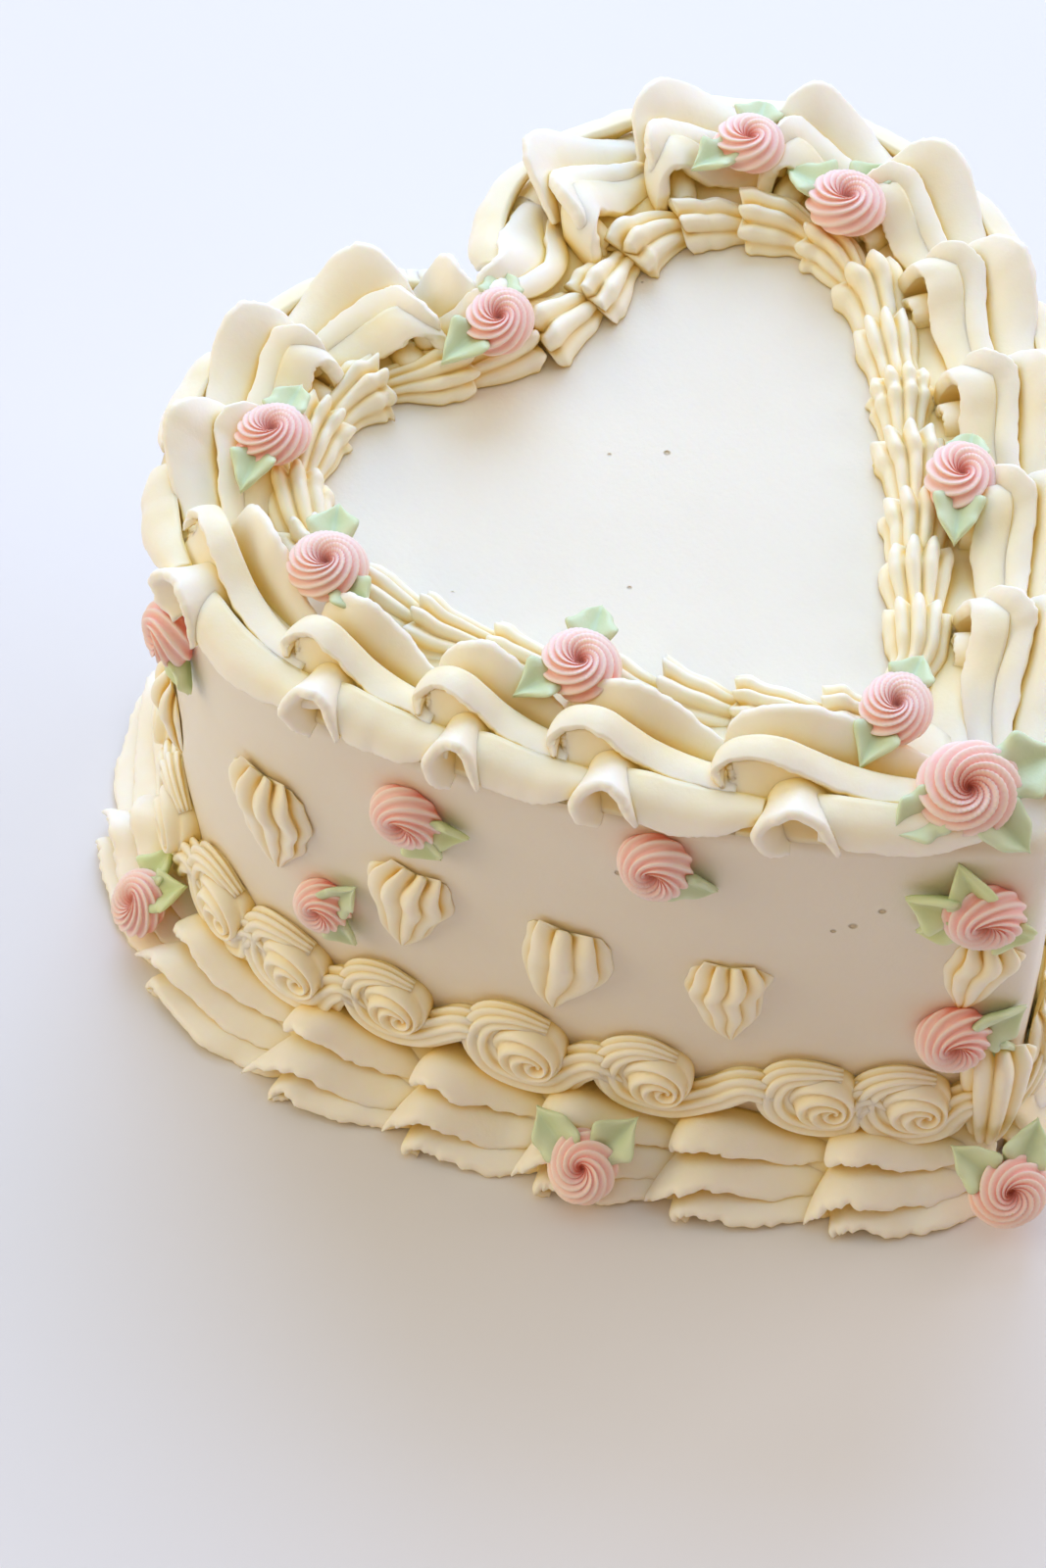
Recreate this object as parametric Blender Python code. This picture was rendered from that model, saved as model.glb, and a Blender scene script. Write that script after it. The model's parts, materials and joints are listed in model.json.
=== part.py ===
"""A heart-shaped layer cake in ivory buttercream, piped in the vintage style. Blender 4.5, metres, +Z up.

The frosted heart stands on the floor with its point towards -Y and its cleft towards +Y. Every border is
one closed run of frosting for each half of the heart: the nozzle's opening is swept along a heart-shaped
guide line and swells and tapers once for each squeeze of the bag. Shells and roses are pieces of their own.
"""
import math
import random
from collections import Counter

import bmesh
import bpy
import numpy as np
from mathutils import Matrix, Vector

MM = 0.001

# The frosted heart: two lobes, bowed sides, a blunt point and a rounded top edge
CAKE_HEIGHT = 97 * MM
LOBE_X = 29.6 * MM
LOBE_Y = 29.6 * MM
LOBE_R = 53.4 * MM
CROWN_R = 29 * MM
SIDE_R = 222 * MM
APEX_Y = -86.4 * MM
CLEFT_Y = 61.1 * MM
CLEFT_PINCH = 0.43
POINT_R = 5 * MM
TOP_EDGE_R = 3 * MM
GUIDE_STEP = 0.5 * MM
WELD = 0.01 * MM
SLIVER = 0.04 * MM

# Clearance between pieces that touch, and the height that a seat is cut free above a flower
GAP = 0.3 * MM
BASE_GAP = 0.6 * MM
SEAT_MARGIN = 0.45 * MM
SEAT_REACH = 24 * MM
SEAT_SIDES = 8

# The piped borders: how many squeezes a side, and where each run starts and ends along its guide
TOP_RUFFLES = 8
INNER_SHELLS = 11
ROPE_SCROLLS = 11
BASE_RUFFLES = 9
SHELL_INSET = 23.6 * MM
SHELL_POINT_R = 14 * MM
SHELL_CROWN_R = 40 * MM
ROPE_HEIGHT = 24.6 * MM

# Roses and leaves
ROSE_R = 6.6 * MM
ROSE_H = 6.4 * MM
ROSE_RIDGES = 6
ROSE_TWIST = 0.9
LEAF_LENGTH = 8.5 * MM
LEAF_WIDTH = 5.6 * MM
LEAF_THICK = 1.1 * MM
LEAF_TIP = 0.7 * MM
LEAF_LIFT = 1.9 * MM
LEAF_WAVE = 0.3

# Star-tip shells on the wall
WALL_SHELL_LENGTH = 20 * MM
WALL_SHELL_WIDTH = 15 * MM
WALL_SHELL_RISE = 5.2 * MM

# How much of the tail's section is left where a run stops
RUN_END = 0.6

# Flowers on the top border: side, distance from the point along the wall, outwards, up, tilt, size and
# leaf bearings
TOP_FLOWERS = [
    (-1, 268.5, -12.5, 10.0, -8, 1.0, (48, 182)),
    (-1, 189, -20, 10.0, 6, 1.0, (34, 210)),
    (-1, 139, -20, 10.0, 8, 1.05, (46, 266)),
    (-1, 83, -19.5, 9.4, 8, 1.05, (30, 168)),
    (-1, 26, -20, 9.0, 8, 1.0, (23, 205)),
    (1, 189, -17, 10.0, 0, 1.0, (38, 177)),
    (1, 155, -23, 8.6, 0, 1.1, (9, 94)),
    (1, 69, -22, 8.6, 0, 1.05, (38, 223)),
    (-1, 14, -7, 6.6, 34, 1.3, (177, 340, 280)),
]

# Flowers on the wall: side, distance from the point, height, size, leaf bearings
WALL_FLOWERS = [
    (-1, 160, 89, 1.0, (290,)),
    (-1, 107, 83, 1.0, (345, 300)),
    (-1, 124, 46, 0.9, (50, 310)),
    (-1, 64, 88, 1.05, (330,)),
    (-1, 10, 81, 1.1, (115, 165, 215, 320)),
    (-1, 12, 44, 1.1, (30, 330)),
    (1, 60, 84, 1.0, (210,)),
    (1, 104, 82, 1.0, (195, 255)),
    (1, 125, 50, 0.95, (100,)),
    (1, 158, 80, 1.0, (250, 190)),
    (1, 212, 82, 1.0, (300, 230)),
    (-1, 210, 82, 1.0, (210, 320)),
    (1, 7, 90, 0.9, (330,)),
]

# Flowers on the base ruffles: side, distance from the point, outwards, height, size, leaf bearings
BASE_FLOWERS = [
    (-1, 162, 11, 9.0, 1.0, (60, 110)),
    (-1, 72, 13.5, 8.6, 1.05, (50, 140)),
    (-1, 2.5, 12, 9.2, 1.1, (60, 130)),
    (1, 76, 14, 8.0, 1.0, (40, 140)),
    (1, 160, 11.5, 9.0, 1.05, (70, 150)),
    (1, 234, 11, 9.2, 1.0, (60, 120)),
]

# Shells on the wall: side, distance from the point, height, size
WALL_SHELLS = [
    (-1, 176, 46, 0.9), (-1, 135, 62, 1.1), (-1, 108, 54, 1.0), (-1, 80, 50, 1.05), (-1, 51, 49, 0.95),
    (1, 51, 53, 1.0), (1, 80, 54, 0.95), (1, 105, 55, 1.05), (1, 136, 61, 1.0), (1, 178, 52, 1.0),
    (-1, 214, 52, 1.0), (1, 216, 54, 0.95), (-1, 9, 60, 0.8),
]
BASE_FLOWER_LIFT = math.radians(42)

IVORY = (0.89, 0.78, 0.55, 1)
IVORY_PALE = (0.93, 0.87, 0.74, 1)
ROSE_PINK = (0.87, 0.47, 0.44, 1)


def clear_scene():
    for old in list(bpy.data.objects):
        bpy.data.objects.remove(old, do_unlink=True)


def buttercream(name, colour, roughness=0.55):
    """Whipped butter and sugar: a soft satin with no metal in it."""
    material = bpy.data.materials.new(name)
    material.use_nodes = True
    shader = material.node_tree.nodes["Principled BSDF"]
    shader.inputs["Base Color"].default_value = colour
    shader.inputs["Roughness"].default_value = roughness
    shader.inputs["Metallic"].default_value = 0
    return material


def arc(centre, radius, start, end, facing=1):
    """Points and outward normals along an arc, angles in radians; facing is -1 where it is hollow."""
    count = max(3, int(abs(end - start) * radius / GUIDE_STEP) + 1)
    angles = np.linspace(start, end, count)
    ray = np.stack([np.cos(angles), np.sin(angles)], 1)
    return np.array(centre) + radius * ray, facing * ray


class Guide:
    """The +X half of the heart's outline, inset by a distance, from the cleft round the lobe to the point."""

    def __init__(self, inset=0.0, point_r=POINT_R, crown_r=CROWN_R):
        lobe = np.array([LOBE_X, LOBE_Y])
        crown = np.array([LOBE_X, LOBE_Y + LOBE_R - crown_r])
        reach = math.hypot(LOBE_X, LOBE_Y - APEX_Y)
        across = (2 * LOBE_R * SIDE_R - LOBE_R ** 2 - reach ** 2) / (2 * (LOBE_R - SIDE_R)) / reach
        joint = math.atan2(LOBE_Y - APEX_Y, LOBE_X) - math.acos(across)
        side = lobe + (LOBE_R - SIDE_R) * np.array([math.cos(joint), math.sin(joint)])
        crown_r = crown_r - inset
        drop = CLEFT_Y - CLEFT_PINCH * inset - crown[1]
        cleft_r = (LOBE_X ** 2 + drop ** 2 - crown_r ** 2) / (2 * (crown_r - drop))
        cleft = np.array([0, crown[1] + drop + cleft_r])
        point = np.array([0, side[1] - math.sqrt((SIDE_R - inset - point_r) ** 2 - side[0] ** 2)])
        towards_crown = math.atan2(crown[1] - cleft[1], crown[0])
        towards_point = math.atan2(point[1] - side[1], -side[0])
        pieces = [
            arc(cleft, cleft_r, -math.pi / 2, towards_crown, facing=-1),
            arc(crown, crown_r, towards_crown + math.pi, math.pi / 2),
            arc(lobe, LOBE_R - inset, math.pi / 2, joint),
            arc(side, SIDE_R - inset, joint, towards_point),
            arc(point, point_r, towards_point, -math.pi / 2),
        ]
        self.points = np.concatenate([piece[0] for piece in pieces])
        self.normals = np.concatenate([piece[1] for piece in pieces])
        steps = np.linalg.norm(np.diff(self.points, axis=0), axis=1)
        self.run = np.concatenate([[0], np.cumsum(steps)])
        self.length = self.run[-1]

    def place(self, side, along, out, up):
        """World points at distances along the guide, outwards from it and up; side -1 is the -X half."""
        along, out, up = np.broadcast_arrays(along, out, up)
        spot = [np.interp(along, self.run, self.points[:, axis]) for axis in (0, 1)]
        normal = [np.interp(along, self.run, self.normals[:, axis]) for axis in (0, 1)]
        return np.stack([side * (spot[0] + out * normal[0]), spot[1] + out * normal[1], up], -1)


def add_object(name, bm, material):
    """Close what is open, turn the faces outwards and hand the mesh to a new object."""
    bmesh.ops.remove_doubles(bm, verts=bm.verts, dist=WELD)
    rims = [edge for edge in bm.edges if edge.is_boundary]
    if rims:
        bmesh.ops.holes_fill(bm, edges=rims, sides=0)
    bmesh.ops.recalc_face_normals(bm, faces=bm.faces)
    mesh = bpy.data.meshes.new(name)
    bm.to_mesh(mesh)
    bm.free()
    if material:
        mesh.materials.append(material)
    mesh.shade_smooth()
    mesh.set_sharp_from_angle(angle=math.radians(40))
    piece = bpy.data.objects.new(name, mesh)
    bpy.context.scene.collection.objects.link(piece)
    return piece


def rolled_sheet(points):
    """A tube from a grid of points, one row for each station and one column for each point of its ring."""
    stations, ring = points.shape[:2]
    bm = bmesh.new()
    bmesh.ops.create_grid(bm, x_segments=stations - 1, y_segments=ring, size=1)
    for vert in bm.verts:
        row = round((vert.co.x + 1) / 2 * (stations - 1))
        column = round((vert.co.y + 1) / 2 * ring) % ring
        vert.co = points[row, column]
    return bm


def half_star(ridges, depth):
    """The open half of a star nozzle as (across, rise), from one foot over the ridges to the other."""
    count = 2 * ridges + 1
    angles = np.pi * np.arange(count) / (count - 1)
    radius = np.where(np.arange(count) % 2 == 1, 1.0, 1.0 - depth)
    return np.stack([radius * np.cos(angles), radius * np.sin(angles)], 1)


def unit_breaks(start, end, count, seed):
    """Where each squeeze starts: an even row, uneven by a few per cent like handwork."""
    draw = random.Random(seed)
    step = (end - start) / count
    inner = [start + step * (i + draw.uniform(-0.07, 0.07)) for i in range(1, count)]
    return [start] + inner + [end]


def swept_run(name, guide, side, breaks, squeeze, full, tail, lean, material, seed):
    """One closed run: its section goes from tail to full and back once between each pair of breaks.

    squeeze lists (part of the unit, swell), and lean how far each point of the section tips back at first.
    In the cleft the two halves press flat against each other.
    """
    draw = random.Random(seed)
    rows = []
    for start, end in zip(breaks[:-1], breaks[1:]):
        size = draw.uniform(0.93, 1.0)
        for part, swell in squeeze:
            section = tail + (full - tail) * swell * size
            along = start + (end - start) * (part - lean * swell * (1 - part) ** 2)
            rows.append(guide.place(side, along, section[:, 0], section[:, 1]))
    section = tail[0] + (tail - tail[0]) * RUN_END
    rows.append(guide.place(side, breaks[-1], section[:, 0], section[:, 1]))
    points = np.array(rows)
    points[:, :, 0] = side * np.maximum(side * points[:, :, 0], GAP / 2)
    return add_object(name, rolled_sheet(points), material)


def make_heart(material):
    """The frosted cake: the outline extruded upwards, with the top edge rounded by the spatula."""
    wall = Guide()
    along = np.concatenate([
        np.linspace(0, wall.length * 0.97, 34),
        np.linspace(wall.length * 0.985, wall.length, 3),
    ])
    half = wall.place(1, along, 0.0, 0.0)
    outline = np.concatenate([half, half[-2:0:-1] * np.array([-1, 1, 1])])
    bm = bmesh.new()
    loop = [bm.verts.new(point) for point in outline]
    floor = bm.faces.new(loop)
    raised = bmesh.ops.extrude_face_region(bm, geom=[floor])
    top_verts = [item for item in raised["geom"] if isinstance(item, bmesh.types.BMVert)]
    bmesh.ops.translate(bm, verts=top_verts, vec=(0, 0, CAKE_HEIGHT))
    rim = [edge for edge in bm.edges if all(vert.co.z > CAKE_HEIGHT / 2 for vert in edge.verts)]
    bmesh.ops.bevel(
        bm, geom=rim, offset=TOP_EDGE_R, offset_type="OFFSET", segments=2, profile=0.5, affect="EDGES",
        material=-1,
    )
    return add_object("frosted_heart", bm, material)


def make_top_ruffles(side, material, seed):
    """Five-bladed ruffles over the cake's edge: two inner lips, a middle crest and two outer lips."""
    guide = Guide()
    top = CAKE_HEIGHT + GAP
    full = np.array([
        (-12.6, 0), (-14.0, 2.8), (-11.6, 4.6), (-16.2, 11.6), (-14.6, 13.6), (-9.9, 6.2), (-9.6, 15.4),
        (-7.2, 15.6), (-6.4, 6.4), (-1.0, 12.0), (0.8, 10.0), (-3.6, 4.6), (4.9, 3.6), (4.6, 1.0), (-1.0, 0),
    ]) * MM + np.array([0, top])
    tail = np.array([
        (-12, 0), (-13.0, 1.6), (-11.2, 2.8), (-13.2, 5.4), (-12.0, 6.4), (-9.4, 4.0), (-8.9, 7.2),
        (-7.4, 7.3), (-6.4, 4.0), (-2.6, 5.6), (-1.6, 4.6), (-4.2, 2.8), (1.6, 1.8), (1.4, 0.6), (-1.0, 0),
    ]) * MM + np.array([0, top])
    lean = np.array([0, 0.1, 0, 0.16, 0.16, 0, 0.16, 0.16, 0, 0.16, 0.16, 0, 0.12, 0.08, 0])
    breaks = unit_breaks(3 * MM, guide.length - 15 * MM, TOP_RUFFLES, seed)
    squeeze = [(0.0, 0.0), (0.1, 0.86), (0.26, 1.0), (0.5, 0.8), (0.8, 0.35)]
    name = "top_ruffles_right" if side > 0 else "top_ruffles_left"
    return swept_run(name, guide, side, breaks, squeeze, full, tail, lean, material, seed)


def make_inner_shells(side, material, seed):
    """Star-tip shells round the smooth top, each fanning out and drawn to a tail towards the point."""
    guide = Guide(SHELL_INSET, SHELL_POINT_R, SHELL_CROWN_R)
    star = half_star(4, 0.24)
    top = CAKE_HEIGHT + GAP
    full = star * np.array([6.2, 9.4]) * MM + np.array([0, top])
    tail = star * np.array([3.6, 5.0]) * MM + np.array([0, top])
    lean = 0.16 * np.sin(np.linspace(0, np.pi, len(star)))
    breaks = unit_breaks(1.2 * MM, guide.length - 6 * MM, INNER_SHELLS, seed)
    squeeze = [(0.0, 0.0), (0.14, 0.9), (0.36, 1.0), (0.7, 0.4)]
    name = "inner_shells_right" if side > 0 else "inner_shells_left"
    return swept_run(name, guide, side, breaks, squeeze, full, tail, lean, material, seed)


def make_rope(side, material, seed):
    """Star-tip scrolls round the foot of the wall: a rosette and a wavy tail, again and again."""
    guide = Guide()
    star = half_star(4, 0.2)[:, ::-1]
    full = star * np.array([9.6, 9.0]) * MM + np.array([GAP, ROPE_HEIGHT])
    tail = star * np.array([6.0, 5.4]) * MM + np.array([GAP, ROPE_HEIGHT - 1.6 * MM])
    lean = 0.12 * np.sin(np.linspace(0, np.pi, len(star)))
    breaks = unit_breaks(6 * MM, guide.length - 9 * MM, ROPE_SCROLLS, seed)
    squeeze = [(0.0, 0.1), (0.16, 0.9), (0.4, 1.0), (0.7, 0.3)]
    name = "rope_scrolls_right" if side > 0 else "rope_scrolls_left"
    return swept_run(name, guide, side, breaks, squeeze, full, tail, lean, material, seed)


def make_base_ruffles(side, material, seed):
    """The same ribbon laid round the foot, its three lips turned outwards and the lowest on the floor."""
    guide = Guide()
    gap = BASE_GAP / MM
    full = np.array([
        (gap, 0), (gap, 13.2), (6.8, 15.0), (8.4, 13.4), (7.4, 9.0), (13.2, 9.6), (14.2, 7.6),
        (11.4, 4.6), (17.4, 2.6), (16.8, 0),
    ]) * MM
    tail = np.array([
        (gap, 0), (gap, 12.4), (4.6, 12.6), (6.0, 11.2), (6.2, 8.2), (9.8, 7.4), (10.6, 6.0),
        (9.8, 3.8), (13.6, 2.0), (13.2, 0),
    ]) * MM
    lean = np.array([0, 0, 0.1, 0.12, 0.04, 0.14, 0.14, 0.04, 0.14, 0.1])
    breaks = unit_breaks(12 * MM, guide.length - 9 * MM, BASE_RUFFLES, seed)
    squeeze = [(0.0, 0.0), (0.1, 0.92), (0.36, 1.0), (0.72, 0.45)]
    name = "base_ruffles_right" if side > 0 else "base_ruffles_left"
    return swept_run(name, guide, side, breaks, squeeze, full, tail, lean, material, seed)


def wall_frame(guide, side, from_point, height, out=GAP, tilt=0.0, roll=0.0):
    """A frame standing on the wall: local Z leaves the wall, local Y is up, then tilted up and rolled."""
    spot = Vector(guide.place(side, guide.length - from_point, out, height))
    ahead = Vector(guide.place(side, guide.length - from_point, out + MM, height))
    outward = (ahead - spot).normalized()
    across = Vector((0, 0, 1)).cross(outward)
    stand = Matrix((across, Vector((0, 0, 1)), outward)).transposed().to_4x4()
    lift = Matrix.Rotation(-tilt, 4, "X")
    spin = Matrix.Rotation(roll, 4, "Z")
    return Matrix.Translation(spot) @ stand @ lift @ spin


def wall_shell(name, frame, size, material):
    """One star-tip shell: a fan of ridges at its head, drawn down to a fine tail."""
    star = half_star(4, 0.26)
    steps = [(0.0, 0.34), (0.1, 0.92), (0.32, 1.0), (0.62, 0.62), (0.98, 0.1)]
    rows = []
    for part, swell in steps:
        across = star[:, 0] * swell * WALL_SHELL_WIDTH / 2 * size
        rise = star[:, 1] * swell * WALL_SHELL_RISE * size
        down = (0.42 - part) * WALL_SHELL_LENGTH * size
        rows.append(np.stack([across, np.full(len(star), down), rise], 1))
    bm = rolled_sheet(np.array(rows))
    bmesh.ops.transform(bm, matrix=frame, verts=bm.verts)
    return add_object(name, bm, material)


def rose_rows(radius, height):
    """A star-tip rosette: ridges that wind in from the foot over the shoulder to a sunken eye."""
    count = 2 * ROSE_RIDGES
    ridge = np.where(np.arange(count) % 2 == 1, 1.0, 0.9)
    profile = [(0.86, 0.0, 0.0), (1.0, 0.38, 0.25), (0.66, 0.94, 0.7), (0.2, 0.8, 1.0)]
    rows = []
    for spread, rise, turn in profile:
        angles = 2 * np.pi * np.arange(count) / count + ROSE_TWIST * turn
        reach = radius * spread * ridge
        level = np.full(count, rise * height)
        rows.append(np.stack([reach * np.cos(angles), reach * np.sin(angles), level], 1))
    return np.array(rows)


def leaf_steps(size):
    """Where a leaf is half grown and fully grown: reach past the rose, half width, lift and thickness."""
    half_grown = (LEAF_LENGTH * 0.42, LEAF_WIDTH / 2, LEAF_LIFT, LEAF_THICK)
    tip = (LEAF_LENGTH, LEAF_TIP / 2, LEAF_LIFT * 0.8, LEAF_TIP)
    return [tuple(value * size for value in step) for step in (half_grown, tip)]


def grow_leaf(bm, foot, radius, bearing, size):
    """A thin wavy leaf from the rose's foot: the face nearest its bearing, extruded twice to a point."""
    wanted = Vector((math.cos(bearing), math.sin(bearing), 0))
    root = max(foot, key=lambda face: face.calc_center_median().dot(wanted))
    foot.remove(root)
    heading = (root.calc_center_median() * Vector((1, 1, 0))).normalized()
    sideways = Vector((-heading.y, heading.x, 0))
    for reach, half, lift, thick in leaf_steps(size):
        root = bmesh.ops.extrude_discrete_faces(bm, faces=[root])["faces"][0]
        middle = root.calc_center_median()
        for vert in root.verts:
            hand = 1 if (vert.co - middle).dot(sideways) > 0 else -1
            face_up = thick if vert.co.z > middle.z else 0
            rise = lift + face_up + hand * lift * LEAF_WAVE
            vert.co = heading * (radius + reach) + sideways * half * hand + Vector((0, 0, rise))
    return heading


def leaf_seat(radius, heading, size):
    """The clear room over a leaf: its outline with a margin, carried up past its neighbours."""
    (middle, half, _, _), (reach, _, _, _) = leaf_steps(size)
    margin = SEAT_MARGIN * 2
    plan = [
        (radius * 0.8, -half), (radius * 0.8, half), (radius + middle + margin, half + margin),
        (radius + reach + margin * 2, 0), (radius + middle + margin, -half - margin),
    ]
    turn = Matrix.Rotation(math.atan2(heading.y, heading.x), 3, "Z")
    bm = bmesh.new()
    floor = bm.faces.new([bm.verts.new(turn @ Vector((x, y, -SEAT_MARGIN))) for x, y in plan])
    raised = bmesh.ops.extrude_face_region(bm, geom=[floor])
    high = [item for item in raised["geom"] if isinstance(item, bmesh.types.BMVert)]
    bmesh.ops.translate(bm, verts=high, vec=(0, 0, SEAT_REACH))
    return bm


def collected(pieces, name):
    group = bpy.data.collections.new(name)
    for piece in pieces:
        group.objects.link(piece)
    return group


def apply_boolean(piece, others, operation, solver="EXACT"):
    """One Boolean on a collection, applied, keeping the largest body that it leaves."""
    group = collected(others, piece.name + "_" + operation.lower())
    cut = piece.modifiers.new(operation.lower(), "BOOLEAN")
    cut.operation = operation
    cut.operand_type = "COLLECTION"
    cut.collection = group
    cut.solver = solver
    bpy.context.view_layer.update()
    graph = bpy.context.evaluated_depsgraph_get()
    mesh = bpy.data.meshes.new_from_object(piece.evaluated_get(graph))
    piece.modifiers.clear()
    piece.data = mesh
    bpy.data.collections.remove(group)
    keep_largest_body(mesh)


def weld_slivers(bm):
    """Close up the slivers that a cut leaves, and drop the faces that then fold flat on each other."""
    bmesh.ops.triangulate(bm, faces=bm.faces)
    bmesh.ops.remove_doubles(bm, verts=bm.verts, dist=SLIVER)
    bmesh.ops.dissolve_degenerate(bm, edges=bm.edges, dist=SLIVER / 2)
    corners = Counter(frozenset(face.verts) for face in bm.faces)
    flaps = {face for face in bm.faces if corners[frozenset(face.verts)] > 1}
    flaps |= {face for edge in bm.edges if edge.is_boundary for face in edge.link_faces}
    bmesh.ops.delete(bm, geom=list(flaps), context="FACES")


def keep_largest_body(mesh):
    """Weld what a cut left and drop its loose scraps."""
    bm = bmesh.new()
    bm.from_mesh(mesh)
    weld_slivers(bm)
    unseen = set(bm.faces)
    bodies = []
    while unseen:
        body = set()
        reached = [unseen.pop()]
        while reached:
            face = reached.pop()
            body.add(face)
            neighbours = {other for edge in face.edges for other in edge.link_faces} & unseen
            unseen -= neighbours
            reached.extend(neighbours)
        bodies.append(body)
    bodies.sort(key=len)
    scraps = [face for body in bodies[:-1] for face in body]
    bmesh.ops.delete(bm, geom=scraps, context="FACES")
    bm.to_mesh(mesh)
    bm.free()


def flower(name, frame, size, bearings, material, seats):
    """A rose with its leaves, and the clear seat that its neighbours keep round it."""
    radius = ROSE_R * size
    bm = rolled_sheet(rose_rows(radius, ROSE_H * size))
    bmesh.ops.remove_doubles(bm, verts=bm.verts, dist=WELD)
    foot = [face for face in bm.faces if face.calc_center_median().z < ROSE_H * size * 0.3]
    for bearing in bearings:
        heading = grow_leaf(bm, foot, radius, math.radians(bearing), size)
        seat = leaf_seat(radius, heading, size)
        bmesh.ops.transform(seat, matrix=frame, verts=seat.verts)
        seats.append(add_object(name + "_leaf_seat", seat, None))
    bmesh.ops.transform(bm, matrix=frame, verts=bm.verts)
    rose = add_object(name, bm, material)
    well = bmesh.new()
    clear = (radius + SEAT_MARGIN) / math.cos(math.pi / SEAT_SIDES)
    bmesh.ops.create_cone(
        well, cap_ends=True, segments=SEAT_SIDES, radius1=clear, radius2=clear, depth=SEAT_REACH
    )
    bmesh.ops.translate(well, verts=well.verts, vec=(0, 0, SEAT_REACH / 2 - SEAT_MARGIN))
    bmesh.ops.transform(well, matrix=frame, verts=well.verts)
    seats.append(add_object(name + "_seat", well, None))
    return rose


def top_frame(guide, side, from_point, out, up, tilt):
    """A frame on the top border: local Z up, then tipped outwards by tilt."""
    spot = Vector(guide.place(side, guide.length - from_point, out, CAKE_HEIGHT + up))
    ahead = Vector(guide.place(side, guide.length - from_point, out + MM, CAKE_HEIGHT + up))
    across = (ahead - spot).normalized().cross(Vector((0, 0, 1)))
    return Matrix.Translation(spot) @ Matrix.Rotation(-math.radians(tilt), 4, across)


def main():
    clear_scene()
    cake_cream = buttercream("smooth_buttercream", IVORY_PALE, 0.5)
    piped_cream = buttercream("piped_buttercream", IVORY)
    rose_cream = buttercream("rose_buttercream", ROSE_PINK)
    wall = Guide()
    make_heart(cake_cream)
    borders = []
    for side, seed in ((-1, 11), (1, 23)):
        borders.append(make_top_ruffles(side, piped_cream, seed))
        borders.append(make_inner_shells(side, piped_cream, seed + 1))
        borders.append(make_rope(side, piped_cream, seed + 2))
        borders.append(make_base_ruffles(side, piped_cream, seed + 3))
    for number, (side, from_point, height, size) in enumerate(WALL_SHELLS, 1):
        frame = wall_frame(wall, side, from_point * MM, height * MM)
        wall_shell(f"wall_shell_{number:02d}", frame, size, piped_cream)
    seats = []
    for number, (side, from_point, out, up, tilt, size, bearings) in enumerate(TOP_FLOWERS, 1):
        frame = top_frame(wall, side, from_point * MM, out * MM, up * MM, tilt)
        flower(f"top_flower_{number:02d}", frame, size, bearings, rose_cream, seats)
    for number, (side, from_point, height, size, bearings) in enumerate(WALL_FLOWERS, 1):
        frame = wall_frame(wall, side, from_point * MM, height * MM)
        flower(f"wall_flower_{number:02d}", frame, size, bearings, rose_cream, seats)
    for number, (side, from_point, out, height, size, bearings) in enumerate(BASE_FLOWERS, 1):
        frame = wall_frame(wall, side, from_point * MM, height * MM, out * MM, BASE_FLOWER_LIFT)
        flower(f"base_flower_{number:02d}", frame, size, bearings, rose_cream, seats)
    for border in borders:
        apply_boolean(border, seats, "DIFFERENCE", "MANIFOLD")
    for seat in seats:
        bpy.data.objects.remove(seat, do_unlink=True)


main()
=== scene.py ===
"""The looks of a heart-shaped cake in ivory buttercream, piped in the vintage style with roses and leaves."""

import json
import math
import random

import bmesh
import bpy
import numpy as np
from mathutils import Matrix, Vector, noise

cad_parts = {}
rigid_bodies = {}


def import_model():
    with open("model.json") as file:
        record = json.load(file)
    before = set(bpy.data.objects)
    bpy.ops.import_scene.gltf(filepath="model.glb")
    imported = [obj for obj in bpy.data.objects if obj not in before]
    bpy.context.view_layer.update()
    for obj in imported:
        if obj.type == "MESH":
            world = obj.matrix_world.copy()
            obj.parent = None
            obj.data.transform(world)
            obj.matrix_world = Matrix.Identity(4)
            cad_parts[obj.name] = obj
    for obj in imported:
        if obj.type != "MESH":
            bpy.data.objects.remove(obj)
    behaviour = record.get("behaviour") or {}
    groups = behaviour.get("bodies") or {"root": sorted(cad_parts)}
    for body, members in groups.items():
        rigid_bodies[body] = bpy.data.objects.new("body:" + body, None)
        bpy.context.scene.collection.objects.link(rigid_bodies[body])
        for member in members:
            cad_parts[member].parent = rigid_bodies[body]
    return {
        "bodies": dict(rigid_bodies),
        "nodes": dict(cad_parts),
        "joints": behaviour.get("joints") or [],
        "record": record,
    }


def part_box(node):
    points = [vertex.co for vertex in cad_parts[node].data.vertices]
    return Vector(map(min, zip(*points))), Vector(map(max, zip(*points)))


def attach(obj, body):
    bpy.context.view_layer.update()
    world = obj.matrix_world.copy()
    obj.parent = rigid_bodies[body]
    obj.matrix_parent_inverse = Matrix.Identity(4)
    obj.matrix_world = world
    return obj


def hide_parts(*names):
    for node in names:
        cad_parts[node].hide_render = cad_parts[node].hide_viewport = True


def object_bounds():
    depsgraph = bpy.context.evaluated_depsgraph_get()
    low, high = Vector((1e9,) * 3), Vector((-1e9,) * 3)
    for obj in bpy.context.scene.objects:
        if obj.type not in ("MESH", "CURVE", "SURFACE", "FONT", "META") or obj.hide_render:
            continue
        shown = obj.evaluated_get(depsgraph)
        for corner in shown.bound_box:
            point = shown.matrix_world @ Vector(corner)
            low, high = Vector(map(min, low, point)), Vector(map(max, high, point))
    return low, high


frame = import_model()
cad_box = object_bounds()
MM = 0.001

# The frosted heart
# Sponge layers under a thick coat of ivory buttercream, smoothed with a long spatula on a turntable.
# The wall keeps faint level bands and small pits where the spatula dragged over air bubbles.
CAKE_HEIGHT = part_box("frosted_heart")[1].z

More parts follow.
